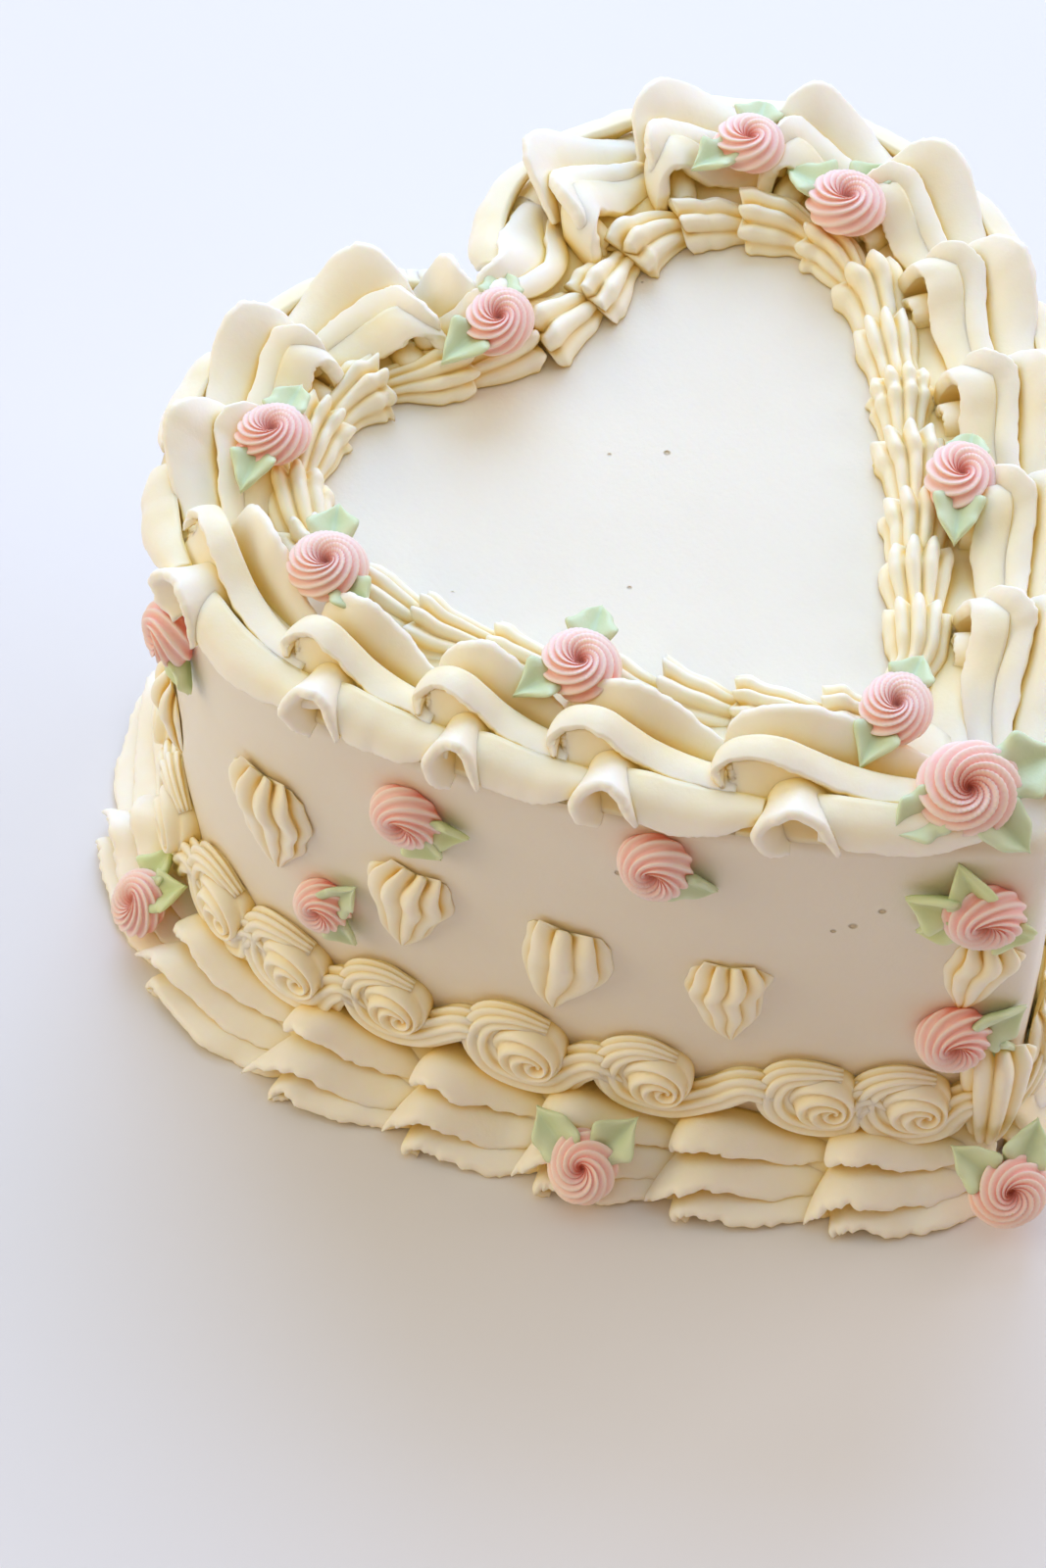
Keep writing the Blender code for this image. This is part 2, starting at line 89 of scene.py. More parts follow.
# In plan each half runs from the cleft over a small crown arc and a large lobe arc, then down a nearly
# straight side to the rounded point
LOBE_X = 29.6 * MM
LOBE_Y = 29.6 * MM
LOBE_R = 53.4 * MM
CROWN_R = 29 * MM
SIDE_R = 222 * MM
APEX_Y = -86.4 * MM
CLEFT_Y = 61.1 * MM
CLEFT_PINCH = 0.43
POINT_R = 5 * MM
GUIDE_STEP = 0.5 * MM
WELD = 0.005 * MM

# The rounded rim, the small chamfer at the foot, and how finely the coat is cut
RIM_R = 3.2 * MM
FLOOR_R = 0.8 * MM
FOOT_ROWS = 3
WALL_ROWS = 62
RIM_ROWS = 8
TOP_ROWS = 46
HALF_COLUMNS = 230
TOP_MIDDLE = Vector((0, 12 * MM, 0))

# How far the smoothed coat swells and how deep its level bands are, then how wide and how high each is in mm
SWELL = 0.35 * MM
SWELL_SPAN = (31, 26)
BAND = 0.10 * MM
BAND_SPAN = (70, 4.5)
STEADY_FOOT = 8

# Buttercream is fat, sugar and air: light goes a little way in, most of all the red part of it. A crease
# gets golden painted shade where a neighbour stands nearer than CREVICE.
BUTTERCREAM_IOR = 1.46
GLOW_DEPTH = 1.4 * MM
GLOW_COLOURS = (1.0, 0.75, 0.4)
CREVICE = 6 * MM
CLOUD_SPAN = 14 * MM
GRAIN_SPAN = 1.1 * MM
GRAIN_DEPTH = 0.13 * MM

# What the spatula leaves: long shallow strokes, and bubbles dragged open into pits here and there
STROKE_SPAN = 5 * MM
STROKE_DEPTH = 0.22 * MM
STROKE_TURN = math.radians(38)
BUBBLE_SPAN = 9 * MM
BUBBLES_CLOSED = 0.86
PIT_DEPTH = 0.5 * MM

# The larger pits on the smooth cream: place in mm, then how wide
PITS = [
    ((-4, 23, 97), 0.6), ((4, 17, 97), 0.75), ((-20, -2, 97), 0.6), ((-44, 16, 97), 0.55),
    ((-8, 29, 97), 0.5), ((-21.2, -70, 78.5), 0.8), ((-24.6, -67, 73.8), 0.9), ((-26.9, -64.8, 72), 0.6),
    ((-51.4, -37.8, 80.6), 0.7), ((-39.6, -52, 49.3), 0.7),
]


def arc_points(centre, radius, start, end, facing=1):
    """Points and outward normals along an arc, angles in radians; facing is -1 where it is hollow."""
    count = max(3, int(abs(end - start) * radius / GUIDE_STEP) + 1)
    angles = np.linspace(start, end, count)
    ray = np.stack([np.cos(angles), np.sin(angles)], 1)
    return np.array(centre) + radius * ray, facing * ray


def heart_guide(inset=0.0, point_r=POINT_R, crown_r=CROWN_R):
    """The +X half of the heart's outline, inset by a distance: its run, points and normals from the cleft."""
    lobe = np.array([LOBE_X, LOBE_Y])
    crown = np.array([LOBE_X, LOBE_Y + LOBE_R - crown_r])
    reach = math.hypot(LOBE_X, LOBE_Y - APEX_Y)
    across = (2 * LOBE_R * SIDE_R - LOBE_R ** 2 - reach ** 2) / (2 * (LOBE_R - SIDE_R)) / reach
    joint = math.atan2(LOBE_Y - APEX_Y, LOBE_X) - math.acos(across)
    side = lobe + (LOBE_R - SIDE_R) * np.array([math.cos(joint), math.sin(joint)])
    crown_r = crown_r - inset
    drop = CLEFT_Y - CLEFT_PINCH * inset - crown[1]
    cleft_r = (LOBE_X ** 2 + drop ** 2 - crown_r ** 2) / (2 * (crown_r - drop))
    cleft = np.array([0, crown[1] + drop + cleft_r])
    point = np.array([0, side[1] - math.sqrt((SIDE_R - inset - point_r) ** 2 - side[0] ** 2)])
    towards_crown = math.atan2(crown[1] - cleft[1], crown[0])
    towards_point = math.atan2(point[1] - side[1], -side[0])
    arcs = [
        arc_points(cleft, cleft_r, -math.pi / 2, towards_crown, facing=-1),
        arc_points(crown, crown_r, towards_crown + math.pi, math.pi / 2),
        arc_points(lobe, LOBE_R - inset, math.pi / 2, joint),
        arc_points(side, SIDE_R - inset, joint, towards_point),
        arc_points(point, point_r, towards_point, -math.pi / 2),
    ]
    points = np.concatenate([piece[0] for piece in arcs])
    normals = np.concatenate([piece[1] for piece in arcs])
    run = np.concatenate([[0], np.cumsum(np.linalg.norm(np.diff(points, axis=0), axis=1))])
    return run, points, normals


def on_guide(guide, side, along, out, up):
    """Places at distances along a guide, outwards from it and up; side -1 is the -X half."""
    run, points, normals = guide
    along, out, up = np.broadcast_arrays(along, out, up)
    spot = [np.interp(along, run, points[:, axis]) for axis in (0, 1)]
    normal = [np.interp(along, run, normals[:, axis]) for axis in (0, 1)]
    return np.stack([side * (spot[0] + out * normal[0]), spot[1] + out * normal[1], up], -1)


def add_sweep(bm, rings):
    """A closed skin over a row of rings, kept inside the solids' box. Each point has its place and how deep
    in a hollow it lies, which sets how much painted shade it gets."""
    poles = [np.repeat(rings[row:row + 1].mean(axis=1, keepdims=True), rings.shape[1] + 1, axis=1)
             for row in (0, len(rings) - 1)]
    closed = np.concatenate([poles[0], np.concatenate([rings, rings[:, :1]], axis=1), poles[1]])
    closed[..., :3] = np.clip(closed[..., :3], np.array(cad_box[0]), np.array(cad_box[1]))
    hollow = bm.verts.layers.float["hollow"]
    grid = bmesh.ops.create_grid(
        bm, x_segments=rings.shape[1], y_segments=len(closed) - 1, size=1
    )
    for vert, (x, y, z, depth) in zip(grid["verts"], closed.reshape(-1, 4).tolist()):
        vert.co = (x, y, z)
        vert[hollow] = depth


def new_form():
    """An empty mesh whose points can say how deep in a hollow they lie, for their painted shade."""
    bm = bmesh.new()
    bm.verts.layers.float.new("hollow")
    return bm


def finish_piece(name, bm, material, nodes):
    """Weld a mesh, turn its faces outwards and let it stand for the solids that it covers."""
    bmesh.ops.remove_doubles(bm, verts=bm.verts, dist=WELD)
    bmesh.ops.dissolve_degenerate(bm, edges=bm.edges, dist=WELD / 2)
    bmesh.ops.recalc_face_normals(bm, faces=bm.faces)
    mesh = bpy.data.meshes.new(name)
    bm.to_mesh(mesh)
    bm.free()
    mesh.materials.append(material)
    mesh.shade_smooth()
    piece = bpy.data.objects.new(name, mesh)
    bpy.context.scene.collection.objects.link(piece)
    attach(piece, "root")
    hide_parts(*nodes)
    return piece


def srgb(code):
    """A hex colour as the eye sees it, turned to linear light."""
    channels = [int(code[i:i + 2], 16) / 255 for i in (1, 3, 5)]
    return [c / 12.92 if c <= 0.04045 else ((c + 0.055) / 1.055) ** 2.4 for c in channels] + [1]


def add_node(tree, kind, settings, links):
    """One node with its settings, and for each input a value or the socket that feeds it."""
    node = tree.nodes.new(kind)
    for name, value in settings.items():
        setattr(node, name, value)
    for name, value in links.items():
        if isinstance(value, bpy.types.NodeSocket):
            tree.links.new(value, node.inputs[name])
        else:
            node.inputs[name].default_value = value
    return node


def buttercream(name, pale, deep, roughness, soft, hollow_shade_weight):
    """Whipped butter and sugar, piped or spread: pale on its ridges, with golden painted shade in its hollows
    and in every crease, with a satin skin, fine grain and a soft glow where light goes through a thin lip."""
    material = bpy.data.materials.new(name)
    material.use_nodes = True
    tree = material.node_tree
    shader = tree.nodes["Principled BSDF"]
    place = add_node(tree, "ShaderNodeTexCoord", {}, {}).outputs["Object"]
    depth = add_node(tree, "ShaderNodeAttribute", {"attribute_name": "hollow"}, {}).outputs["Fac"]
    cloud = add_node(tree, "ShaderNodeTexNoise", {}, {
        "Vector": place, "Scale": 1 / CLOUD_SPAN, "Detail": 3.0, "Roughness": 0.6,
    }).outputs["Fac"]
    uneven = add_node(tree, "ShaderNodeMapRange", {}, {
        "Value": cloud, "From Min": 0.3, "From Max": 0.7, "To Min": -0.12, "To Max": 0.12,
    }).outputs["Result"]
    # Painted shade: the colour turns to the deep tone where another surface stands within CREVICE
    sheltered = add_node(tree, "ShaderNodeAmbientOcclusion", {"samples": 6}, {
        "Distance": CREVICE,
    }).outputs["AO"]
    crevice_shade = add_node(tree, "ShaderNodeMapRange", {"interpolation_type": "SMOOTHSTEP"}, {
        "Value": sheltered, "From Min": 0.1, "From Max": 0.75, "To Min": 0.9, "To Max": 0.0,
    }).outputs["Result"]
    # Painted shade: each point's hollow value, weighted, plus the crease shade; the cloud added next is the
    # cream's own uneven tone
    painted_shade_mix = add_node(tree, "ShaderNodeMath", {"operation": "MULTIPLY_ADD"}, {0: depth, 1: hollow_shade_weight, 2: crevice_shade})
    blend = add_node(tree, "ShaderNodeMath", {"operation": "ADD", "use_clamp": True}, {
        0: painted_shade_mix.outputs[0], 1: uneven,
    })
    colour = add_node(tree, "ShaderNodeMix", {"data_type": "RGBA"}, {
        0: blend.outputs[0], 6: srgb(pale), 7: srgb(deep),
    }).outputs[2]
    tree.links.new(colour, shader.inputs["Base Color"])
    grain = add_node(tree, "ShaderNodeTexNoise", {}, {
        "Vector": place, "Scale": 1 / GRAIN_SPAN, "Detail": 4.0, "Roughness": 0.6,
    }).outputs["Fac"]
    skin = add_node(tree, "ShaderNodeBump", {}, {
        "Strength": 0.5, "Distance": GRAIN_DEPTH, "Height": grain,
    }).outputs["Normal"]
    tree.links.new(skin, shader.inputs["Normal"])
    shader.inputs["Roughness"].default_value = roughness
    shader.inputs["IOR"].default_value = BUTTERCREAM_IOR
    shader.inputs["Subsurface Weight"].default_value = soft
    shader.inputs["Subsurface Radius"].default_value = GLOW_COLOURS
    shader.inputs["Subsurface Scale"].default_value = GLOW_DEPTH
    return material


# Buttercream scraped smooth: nearly even in tone, and a little duller than piping; it turns to its deeper
# tone only as painted shade where piping stands close
smooth_cream = buttercream("spatula_smoothed_buttercream", "#ede8db", "#e8dec8", 0.5, 0.3, 0.3)
tree = smooth_cream.node_tree
shader = tree.nodes["Principled BSDF"]
place = add_node(tree, "ShaderNodeTexCoord", {}, {}).outputs["Object"]
bubbles = add_node(tree, "ShaderNodeTexVoronoi", {}, {"Vector": place, "Scale": 1 / BUBBLE_SPAN})
rare = add_node(tree, "ShaderNodeMath", {"operation": "GREATER_THAN"}, {
    0: add_node(tree, "ShaderNodeSeparateColor", {}, {"Color": bubbles.outputs["Color"]}).outputs[0],
    1: BUBBLES_CLOSED,
})
open_pit = add_node(tree, "ShaderNodeMapRange", {"interpolation_type": "SMOOTHSTEP"}, {
    "Value": bubbles.outputs["Distance"], "From Min": 0.025, "From Max": 0.05, "To Min": 1.0, "To Max": 0.0,
})
pits = add_node(tree, "ShaderNodeMath", {"operation": "MULTIPLY"}, {
    0: rare.outputs[0], 1: open_pit.outputs["Result"],
}).outputs[0]
for (x, y, z), width in PITS:
    away = add_node(tree, "ShaderNodeVectorMath", {"operation": "DISTANCE"}, {
        0: place, 1: (x * MM, y * MM, z * MM),
    })
    pit = add_node(tree, "ShaderNodeMapRange", {"interpolation_type": "SMOOTHSTEP"}, {
        "Value": away.outputs["Value"], "From Min": 0.4 * width * MM, "From Max": width * MM,
        "To Min": 1.0, "To Max": 0.0,
    })
    pits = add_node(tree, "ShaderNodeMath", {"operation": "MAXIMUM"}, {
        0: pits, 1: pit.outputs["Result"],
    }).outputs[0]
stroke_place = add_node(tree, "ShaderNodeMapping", {}, {
    "Vector": place, "Rotation": (0, 0, STROKE_TURN), "Scale": (1, 0.14, 1.6),
}).outputs["Vector"]
strokes = add_node(tree, "ShaderNodeTexNoise", {}, {
    "Vector": stroke_place, "Scale": 1 / STROKE_SPAN, "Detail": 3.0, "Roughness": 0.55,
}).outputs["Fac"]
stroke_skin = add_node(tree, "ShaderNodeBump", {}, {
    "Strength": 0.3, "Distance": STROKE_DEPTH, "Height": strokes,
    "Normal": shader.inputs["Normal"].links[0].from_socket,
}).outputs["Normal"]
pitted = add_node(tree, "ShaderNodeBump", {"invert": True}, {
    "Strength": 1.0, "Distance": PIT_DEPTH, "Height": pits, "Normal": stroke_skin,
}).outputs["Normal"]
tree.links.new(pitted, shader.inputs["Normal"])
# Painted shade: inside each pit the colour darkens towards #cbbb9d
pit_shade_colour = add_node(tree, "ShaderNodeMix", {"data_type": "RGBA"}, {
    0: pits, 6: shader.inputs["Base Color"].links[0].from_socket, 7: srgb("#cbbb9d"),
}).outputs[2]
tree.links.new(pit_shade_colour, shader.inputs["Base Color"])

wall_guide = heart_guide()
WALL_LENGTH = wall_guide[0][-1]
along = np.linspace(0, WALL_LENGTH, HALF_COLUMNS)


def heart_ring(out, up):
    """The whole outline at one distance out from the wall and one height."""
    half = on_guide(wall_guide, 1, along, out, up)
    return np.concatenate([half, half[-2:0:-1] * np.array([-1, 1, 1])])


# Rings up over the foot, the wall and the rim, and in to the middle of the top. Those at the foot stay true.
heart_rows = [heart_ring(-FLOOR_R, 0)]
for turn in np.linspace(math.pi / 6, math.pi / 2, FOOT_ROWS):
    heart_rows.append(heart_ring(-FLOOR_R * (1 - math.sin(turn)), FLOOR_R * (1 - math.cos(turn))))
for level in np.linspace(FLOOR_R, CAKE_HEIGHT - RIM_R, WALL_ROWS)[1:]:
    heart_rows.append(heart_ring(0, level))
for turn in np.linspace(0, math.pi / 2, RIM_ROWS)[1:]:
    heart_rows.append(heart_ring(-RIM_R * (1 - math.cos(turn)), CAKE_HEIGHT - RIM_R * (1 - math.sin(turn))))
middle = np.array(TOP_MIDDLE) + np.array([0, 0, CAKE_HEIGHT])
for part in np.linspace(1, 0.01, TOP_ROWS)[1:]:
    heart_rows.append(middle + (heart_ring(-RIM_R, CAKE_HEIGHT) - middle) * part)
heart_points = np.array(heart_rows)
for row in heart_points[FOOT_ROWS + 1:]:
    for spot in row:
        x, y, z = spot / MM
        swell = noise.noise(Vector((x / SWELL_SPAN[0], y / SWELL_SPAN[0], z / SWELL_SPAN[1]))) * SWELL
        band = noise.noise(Vector((x / BAND_SPAN[0], y / BAND_SPAN[0], z / BAND_SPAN[1]))) * BAND
        if z < CAKE_HEIGHT / MM - RIM_R / MM:
            outward = np.array([x, y, 0]) / math.hypot(x, y)
            spot += outward * (swell + band) * min(1, z / STEADY_FOOT)
        else:
            spot[2] += swell * 0.7 - SWELL
heart = new_form()
add_sweep(heart, np.concatenate([heart_points, np.zeros(heart_points.shape[:2] + (1,))], axis=2))
finish_piece("smoothed_heart", heart, smooth_cream, ["frosted_heart"])

# The top ruffles
# Ivory buttercream squeezed through a wide tip with deep thin blades, held over the cake's edge. Each squeeze
# rears up into hoops, one inside the other, and is drawn down to a tail that goes under the next one. On the
# left front the tip was held over the edge, so that its ring hangs outside, and elsewhere it lies inside.

# Where each squeeze starts, along the wall from the cleft in mm, and last where the row ends
RUFFLE_STARTS_LEFT = [5, 18, 45, 72, 100, 136, 162, 186, 214, 250]
RUFFLE_STARTS_RIGHT = [-8, 25, 53, 85, 113, 143, 171, 199, 227, 254.5]
FRILL_STEPS = 56
FRILL_ACROSS = 18
BED_STEPS = 24
FIRST_HUNG_OUTSIDE = 4

# How the hand waves and how the lips are torn: how many times in a squeeze, and how far in mm
HAND_WAVE = (10, 0.28)
TORN_SLOW = (20, 0.2)
TORN_FINE = (48, 0.18)
TOP_RAGGED = 1.0

# Sheets of one squeeze: the root's knots, the lip's knots, half thickness, belly and how blunt the lip is.
# A knot says how far along the squeeze it is, as a part of its length, then how far out and how far up in mm.
SKIRT = (
    [(0.46, -4, 7.0), (0.6, -4, 6.6), (0.77, -3.8, 6), (0.95, -3.6, 5.6), (1.12, -3.2, 5.6), (1.3, -3, 5.8)],
    [(0.48, 1.5, 2.6), (0.61, 1.9, 1.6), (0.77, 2.1, 0.6), (0.94, 1.9, 0.8), (1.1, 1.2, 2.0),
     (1.28, -0.4, 3.5)],
    1.1, 1.7, 0.0,
)
OUTSIDE_SHEETS = [
    (
        [(0.1, -11, 1), (0.15, -11.5, 1.5), (0.3, -11.5, 1.5), (0.45, -11.5, 1.5), (0.62, -11.5, 1),
         (0.85, -11, 0.5), (1.15, -10, 0.5)],
        [(0.0, -14, 5.5), (0.03, -16, 10.5), (0.2, -16.6, 13.8), (0.42, -16.6, 14.6), (0.62, -16.4, 11.8),
         (0.82, -15.2, 8.4), (1.1, -13, 5)],
        0.75, -1.2, 0.2,
    ),
    (
        [(0.02, -6.5, 8.4), (0.01, -8.0, 10.2), (0.07, -9.6, 11.6), (0.17, -10.2, 12.6), (0.28, -10.2, 12.6),
         (0.4, -10.0, 10.8), (0.56, -9.6, 8.2), (0.75, -8.8, 6.8), (0.95, -7.8, 6.6), (1.12, -7, 6.4)],
        [(0.03, -3.4, 7.4), (-0.01, -4.6, 9.4), (0.06, -6.0, 11.2), (0.17, -6.2, 12.2), (0.29, -5.8, 11.8),
         (0.41, -5.4, 9.6), (0.57, -4.8, 7.2), (0.76, -4.0, 6.2), (0.95, -3.4, 6.4), (1.12, -2.8, 6.6)],
        0.9, 0.3, 0.9,
    ),
    (
        [(0.06, -6.6, 7.8), (0.05, -7.4, 10.0), (0.11, -8.0, 11.0), (0.2, -8.4, 11.6), (0.3, -8.2, 11.2),
         (0.42, -7.8, 9.4), (0.58, -7.2, 7.0), (0.78, -6.6, 5.8), (1.05, -6, 5.6)],
        [(0.03, -4.4, 6.8), (0.07, -3.6, 5.4), (0.14, -2.4, 4.0), (0.23, -2.0, 2.2), (0.34, -2.4, 1.0),
         (0.46, -3.2, 1.0), (0.62, -4.0, 2.4), (0.8, -4.4, 3.0), (1.05, -4.4, 3.6)],
        1.0, -0.8, 0.0,
    ),
    (
        [(0.32, -4, 0), (0.29, -5.5, 2), (0.27, -7, 4), (0.3, -8, 6.5), (0.38, -8, 7.2), (0.46, -7.5, 6),
         (0.52, -6, 4), (0.56, -4, 2)],
        [(0.36, 2.6, -1.0), (0.26, 4.0, 0.4), (0.2, 4.2, 4.4), (0.26, 3.0, 8.2), (0.37, 2.2, 9.8),
         (0.47, 2.6, 8.4), (0.53, 3.4, 5.2), (0.58, 3.8, 2.0)],
        1.0, -0.5, 0.3,
    ),
    SKIRT,
]
INSIDE_SHEETS = [
    (
        [(0.1, -12, 4), (0.12, -11, 7), (0.2, -10, 8), (0.3, -10, 7.5), (0.42, -10, 6.5), (0.62, -10.5, 5),
         (0.85, -10.5, 3.5), (1.15, -10, 2.5)],
        [(0.0, -12.5, 6.8), (0.02, -9.2, 11), (0.1, -5.2, 14.2), (0.22, -2.4, 15.4), (0.36, -1.2, 14),
         (0.56, -2, 9.8), (0.8, -3.8, 6), (1.08, -5, 4)],
        0.95, 0.9, 0.2,
    ),
    (
        [(0.15, -17, 5), (0.15, -16, 9), (0.18, -15, 10.2), (0.25, -14.5, 9.6), (0.36, -14.5, 8),
         (0.6, -14.6, 5.6), (0.85, -14.2, 3.6), (1.15, -13, 2.5)],
        [(0.02, -19, 7.5), (0.01, -16.5, 12.2), (0.06, -13, 14.2), (0.15, -10.2, 13), (0.27, -9.4, 11),
         (0.55, -10.6, 8), (0.82, -11, 5.4), (1.1, -10.5, 3.5)],
        1.25, 0.6, 0.5,
    ),
    (
        [(0.12, -15.5, 1), (0.08, -15.5, 5.5), (0.12, -14.8, 9.4), (0.2, -14.4, 11), (0.3, -14.2, 10.4),
         (0.44, -14.4, 8), (0.62, -14.8, 5.6), (0.85, -14.4, 3.8), (1.15, -13, 3)],
        [(0.09, -22.4, 0.4), (0.04, -22.8, 4), (0.08, -21.6, 8.4), (0.17, -20.2, 10.2), (0.28, -19.6, 9.4),
         (0.4, -19.8, 6.4), (0.56, -19.8, 4), (0.8, -18.8, 2.6), (1.1, -17, 1.8)],
        1.3, -0.6, 0.5,
    ),
    (
        [(0.22, -17, 0), (0.2, -17, 3), (0.25, -17, 5), (0.33, -17, 4.5), (0.38, -17, 2)],
        [(0.22, -22.2, -0.6), (0.17, -23, 2.2), (0.22, -22.6, 4.2), (0.31, -22.2, 3.8), (0.36, -22.4, 1.2)],
        0.95, -0.3, 0.4,
    ),
    SKIRT,
]
CLEFT_SHEETS = INSIDE_SHEETS[:2] + [SKIRT]

# The low bed under the frills, in section: out from the wall's line and up, in mm
CORE = [(-24, 0), (-23.4, 1.6), (-15, 3.4), (-7, 4.6), (-3.4, 3.8), (-1.2, 1.6), (-1.2, 0)]

# The outline at even insets between the cleft and the crown, where lines across the border stay nearly level
CLEFT_INSETS = np.linspace(0, 28 * MM, 15)
CLEFT_SHARES = np.linspace(0, 1, 80)
cleft_lines = []
for inset in CLEFT_INSETS:
    run, points, _ = heart_guide(inset)
    crown = int(np.argmax(points[:, 1]))
    share = run[:crown + 1] / run[crown]
    cleft_lines.append([np.interp(CLEFT_SHARES, share, points[:crown + 1, axis]) for axis in (0, 1)])
cleft_lines = np.array(cleft_lines)
CROWN_RUN = wall_guide[0][int(np.argmax(wall_guide[1][:, 1]))]


def on_border(side, along, out, up):
    """Places on the top border: along the wall's line, outwards and up, without a fan at the cleft.
    A distance along that is below zero lies on the other half."""
    along, out, up = np.broadcast_arrays(along, out, up)
    side = np.where(along < 0, -side, side)
    along = np.abs(along)
    places = on_guide(wall_guide, side, along, out, up)
    row = -out / (CLEFT_INSETS[1] - CLEFT_INSETS[0])
    low = np.clip(row.astype(int), 0, len(CLEFT_INSETS) - 2)
    part = np.clip(along / CROWN_RUN, 0, 1) * (len(CLEFT_SHARES) - 1)
    left = np.clip(part.astype(int), 0, len(CLEFT_SHARES) - 2)
    for axis in (0, 1):
        line = cleft_lines[:, axis]
        inner, outer = (
            line[low + shift, left] * (1 - part + left) + line[low + shift, left + 1] * (part - left)
            for shift in (1, 0)
        )
        spot = outer + (inner - outer) * (row - low)
        near = along < CROWN_RUN
        places[..., axis] = np.where(near, spot * (side if axis == 0 else 1.0), places[..., axis])
    return places


def on_wall(side, along, out, up):
    """Places round the wall: along it, outwards and up."""
    return on_guide(wall_guide, side, along, out, up)


def smooth_path(knots, steps):
    """A smooth line through evenly timed knots, read at steps + 1 moments from the first to the last."""
    knots = np.asarray(knots, float)
    ends = [2 * knots[:1] - knots[1:2], 2 * knots[-1:] - knots[-2:-1]]
    padded = np.concatenate([ends[0], knots, ends[1]])
    moments = np.linspace(0, len(knots) - 1, steps + 1)
    span = np.minimum(moments.astype(int), len(knots) - 2)
    t = (moments - span).reshape((-1,) + (1,) * (knots.ndim - 1))
    a, b, c, d = (padded[span + shift] for shift in range(4))
    return 0.5 * (
        2 * b + (c - a) * t + (2 * a - 5 * b + 4 * c - d) * t ** 2 + (3 * b - a - 3 * c + d) * t ** 3
    )


def rounded_rings(corners, steps):
    """Closed smooth rings through rows of corners, with each span between corners cut into steps."""
    a, b, c, d = (np.roll(corners, shift, axis=1)[:, :, None, :] for shift in (1, 0, -1, -2))
    t = (np.arange(steps) / steps).reshape(1, 1, -1, 1)
    spans = 0.5 * (
        2 * b + (c - a) * t + (2 * a - 5 * b + 4 * c - d) * t ** 2 + (3 * b - a - 3 * c + d) * t ** 3
    )
    return spans.reshape(len(corners), -1, corners.shape[2])


def wobble(draw, steps, count, size):
    """A slow random wave along a squeeze, as an unsteady hand gives."""
    return smooth_path([draw.uniform(-size, size) for _ in range(count)], steps)


def unit(arrows):
    """Arrows cut to a length of one."""
    return arrows / np.maximum(np.linalg.norm(arrows, axis=2, keepdims=True), 1e-9)


def sheet_normals(spots, side):
    """The way from root to lip over a sheet, and its normals."""
    outward = unit(np.gradient(spots, axis=1))
    return outward, unit(np.cross(np.gradient(spots, axis=0), np.gradient(spots, axis=1)) * side)


def frill(bm, lay, side, begin, long, base, sheet, ragged, draw):
    """A thin sheet of cream between its root and its lip, with a rounded and more or less torn edge."""
    root, lip, thick, belly, blunt = sheet
    steps = FRILL_STEPS
    root, lip = (smooth_path(knots, steps) for knots in (root, lip))
    for axis in (1, 2):
        lip[:, axis] += wobble(draw, steps, HAND_WAVE[0], HAND_WAVE[1] * ragged)
    across = np.linspace(0, 1, FRILL_ACROSS)[None, :, None] ** 0.8
    spread = root[:, None, :] * (1 - across) + lip[:, None, :] * across
    spots = lay(side, begin + spread[..., 0] * long, spread[..., 1] * MM, base + spread[..., 2] * MM)
    _, normal = sheet_normals(spots, side)
    spots = spots + normal * np.sin(across * np.pi) * belly * MM
    outward, normal = sheet_normals(spots, side)
    # Only the lip is torn, and the last tenth of the sheet is its rounded edge
    torn = wobble(draw, steps, *TORN_SLOW) + wobble(draw, steps, *TORN_FINE)
    spots = spots + outward * torn[:, None, None] * ragged * MM * across ** 6
    rounded = np.clip((across - 0.9) / 0.1, 0, 1)
    rounding = np.sqrt(1 - rounded ** (2 + 4 * blunt) * 0.94)
    ends = smooth_path([0.55, 0.95, 1, 1, 1, 1, 0.9, 0.5], steps)[:, None, None]
    half = thick * MM * (1.35 - 0.35 * across) * rounding * ends
    # Painted shade: deepest at the sheet's root, fading to none at the lip
    shade = (1 - across) ** 1.4 * np.ones(half.shape)
    faces = [np.concatenate([spots + normal * half * turn, shade], axis=2) for turn in (1, -1)]
    add_sweep(bm, np.concatenate([faces[0], faces[1][:, ::-1]], axis=1))


def bedding(bm, lay, side, begin, end, base, section):
    """The low body of cream that a row of squeezes leaves under their frills."""
    run = np.linspace(begin, end, BED_STEPS)[:, None]
    outline = rounded_rings(np.array([section], float), 3)[0][None]
    places = lay(side, run, outline[..., 0] * MM, base + outline[..., 1] * MM)
    # Painted shade: the bed lies under the frills, so it gets much of the deep tone all over
    add_sweep(bm, np.concatenate([places, np.full(places.shape[:2] + (1,), 0.8)], axis=2))


# Buttercream from a bladed tip: near white on its thin lips, with golden painted shade down in its folds
ruffle_cream = buttercream("bladed_tip_buttercream", "#fffcf0", "#f8db84", 0.46, 0.35, 0.38)
for side, hand, starts in ((-1, "left", RUFFLE_STARTS_LEFT), (1, "right", RUFFLE_STARTS_RIGHT)):
    draw = random.Random(31 + side)
    border = new_form()
    for number, (begin, end) in enumerate(zip(starts[:-1], starts[1:])):
        sheets = INSIDE_SHEETS
        if number == 0:
            sheets = CLEFT_SHEETS
        elif side < 0 and number >= FIRST_HUNG_OUTSIDE:
            sheets = OUTSIDE_SHEETS
        for sheet in sheets:
            frill(
                border, on_border, side, begin * MM, (end - begin) * MM, CAKE_HEIGHT, sheet, TOP_RAGGED, draw,
            )
        bedding(border, on_border, side, begin * MM, (end + 4) * MM, CAKE_HEIGHT, CORE)
    finish_piece(f"top_ruffle_{hand}", border, ruffle_cream, [f"top_ruffles_{hand}"])

